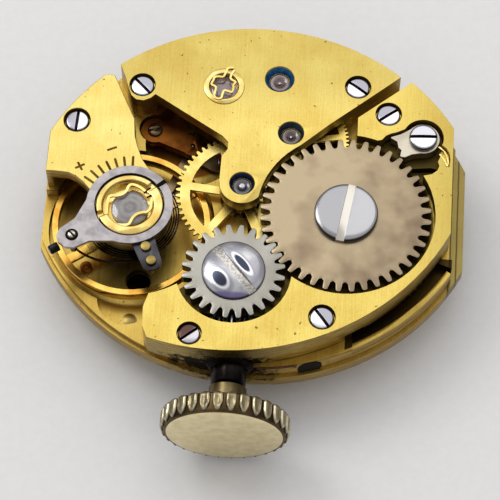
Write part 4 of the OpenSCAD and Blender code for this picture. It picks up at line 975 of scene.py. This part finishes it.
# Pry slot: a thin brown strip whose colour is painted shade in place of a gap.
pry = band("pry_slot", SEAT, 9.89, 9.912, -86.5, -76.9, 1.3, PLATE_TOP)
on_plates(object_from("pry_slot", pry, SLOT_SHADE), "gilt")


def grease_mesh():
    """Old grease gathered round the stem against the plate's edge: a flat ring with an uneven rim."""
    steps, inside, wall_y, verts, faces = 60, 0.75, -7.71, [], []
    profile = [(inside, 0.0), (0.98, 0.0), (0.94, 0.08), (0.84, 0.16), (0.76, 0.19)]
    for i in range(steps):
        a = tau * i / steps
        spread = 1 + 0.2 * sin(3 * a + 0.6) + 0.12 * sin(7 * a) + 0.06 * sin(13 * a + 1.0)
        spread *= max(0.05, min(1.0, 3 * (sin(a) + 0.75)))
        for radius, reach in profile:
            r = inside + (radius - inside) * spread
            verts.append((r * cos(a), wall_y - reach, STEM_Z + r * sin(a)))
    count = len(profile)
    for i in range(steps):
        for j in range(count):
            a, b = i * count, (i + 1) % steps * count
            k = (j + 1) % count
            faces.append((a + j, a + k, b + k, b + j))
    return closed("stem_grease", verts, faces)


on_plates(object_from("stem_grease", grease_mesh(), PITCH), "dark_steel")

# Regulator scale and its two marks on the cock: thin plates whose dark colour is painted shade of engraved cuts
FIRST_MARK, MARK_STEP, MARK_R = 91.6, 9.2, 2.2
MARKS = {
    "regulator_scale": [(-0.26, -0.055), (0.22, -0.055), (0.28, 0), (0.22, 0.055), (-0.26, 0.055)],
    "minus_mark": rectangle(0.22, 0.05),
    "plus_mark": [point_at((0, 0), x, 90 * k, y) for k in range(4)
                  for x, y in [(-0.05, -0.22), (0.05, -0.22), (0.05, -0.05)]]}
MARK_PLACES = {
    "regulator_scale": [(*point_at(BALANCE, MARK_R, a), BRIDGE_TOP, a)
                        for a in (FIRST_MARK + MARK_STEP * k for k in range(7))],
    "minus_mark": [(-5.62, 1.29, BRIDGE_TOP, 25)], "plus_mark": [(-6.9, 0.36, BRIDGE_TOP, 30)]}
for name, outline in MARKS.items():
    on_plates(screws(name, prism(name + "_form", outline, 0, MARK_DEEP), MARK_PLACES[name], ENGRAVING_SHADE), "gilt")


# Floor, light and camera
def paper():
    g = material("paper_floor")
    place = g.place()
    fibre = g.noise(place, 3.0, 4.0, 0.6)
    colour = g.mix(fibre.ramp(0.3, 0.7), (245, 244, 242), (248, 247, 245))
    return shaded(g, colour, 0.85, metallic=0.0, height=fibre, depth=0.006)


FLOOR_Z, FLOOR_R = -1.81, 1500
floor_mesh = bpy.data.meshes.new("floor")
corners = [Vector((x, y, FLOOR_Z)) * MM for x, y in rectangle(FLOOR_R, FLOOR_R)]
floor_mesh.from_pydata(corners, [], [(0, 1, 2, 3)])
floor_mesh.materials.append(paper())
linked("floor", floor_mesh)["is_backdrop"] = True


def softbox(name, at, size, power):
    """Rectangular lamp aimed at the movement."""
    lamp = bpy.data.lights.new(name, "AREA")
    lamp.shape, lamp.size, lamp.size_y, lamp.energy = "RECTANGLE", size[0], size[1], power
    made = linked(name, lamp)
    made.location = at
    made.rotation_euler = (-Vector(at)).to_track_quat("-Z", "Y").to_euler()


softbox("key", (-0.16, 0.10, 0.26), (0.12, 0.12), 0.19)
softbox("overhead", (0.02, 0.17, 0.28), (0.24, 0.2), 0.135)

world = bpy.data.worlds.new("studio")
world.use_nodes = True
world.node_tree.nodes.clear()
wg = Graph(world.node_tree)
direction = wg.node("ShaderNodeTexCoord", out=0)
rise = wg.split(direction)[2]
sky = wg.mix(rise.ramp(0.05, 0.85), (0.42, 0.41, 0.42, 1), (0.9, 0.9, 0.92, 1))
front = 1 - wg.split(direction)[1].ramp(-0.9, 0.1)
sky = wg.mix(front * 0.35, sky, (0.1, 0.1, 0.1, 1))
wg.end("ShaderNodeOutputWorld", wg.node("ShaderNodeBackground", None, {"Color": sky, "Strength": 0.8}))
bpy.context.scene.world = world
bpy.context.scene.view_settings.view_transform = "Standard"

AZIMUTH, ELEVATION, DISTANCE, LENS = radians(3.8), radians(63.5), 99.8, 172.8
LOOK_AT = Vector((0.545, -3.125, 2.95))
level = cos(ELEVATION)
back = Vector((sin(AZIMUTH) * level, -cos(AZIMUTH) * level, sin(ELEVATION)))
eye = bpy.data.cameras.new("camera")
eye.lens, eye.sensor_width, eye.clip_start, eye.clip_end = LENS, 36, 0.005, 10
camera = linked("camera", eye)
camera.location = (LOOK_AT + back * DISTANCE) * MM
camera.rotation_euler = back.to_track_quat("Z", "Y").to_euler()
bpy.context.scene.camera = camera

low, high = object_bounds()
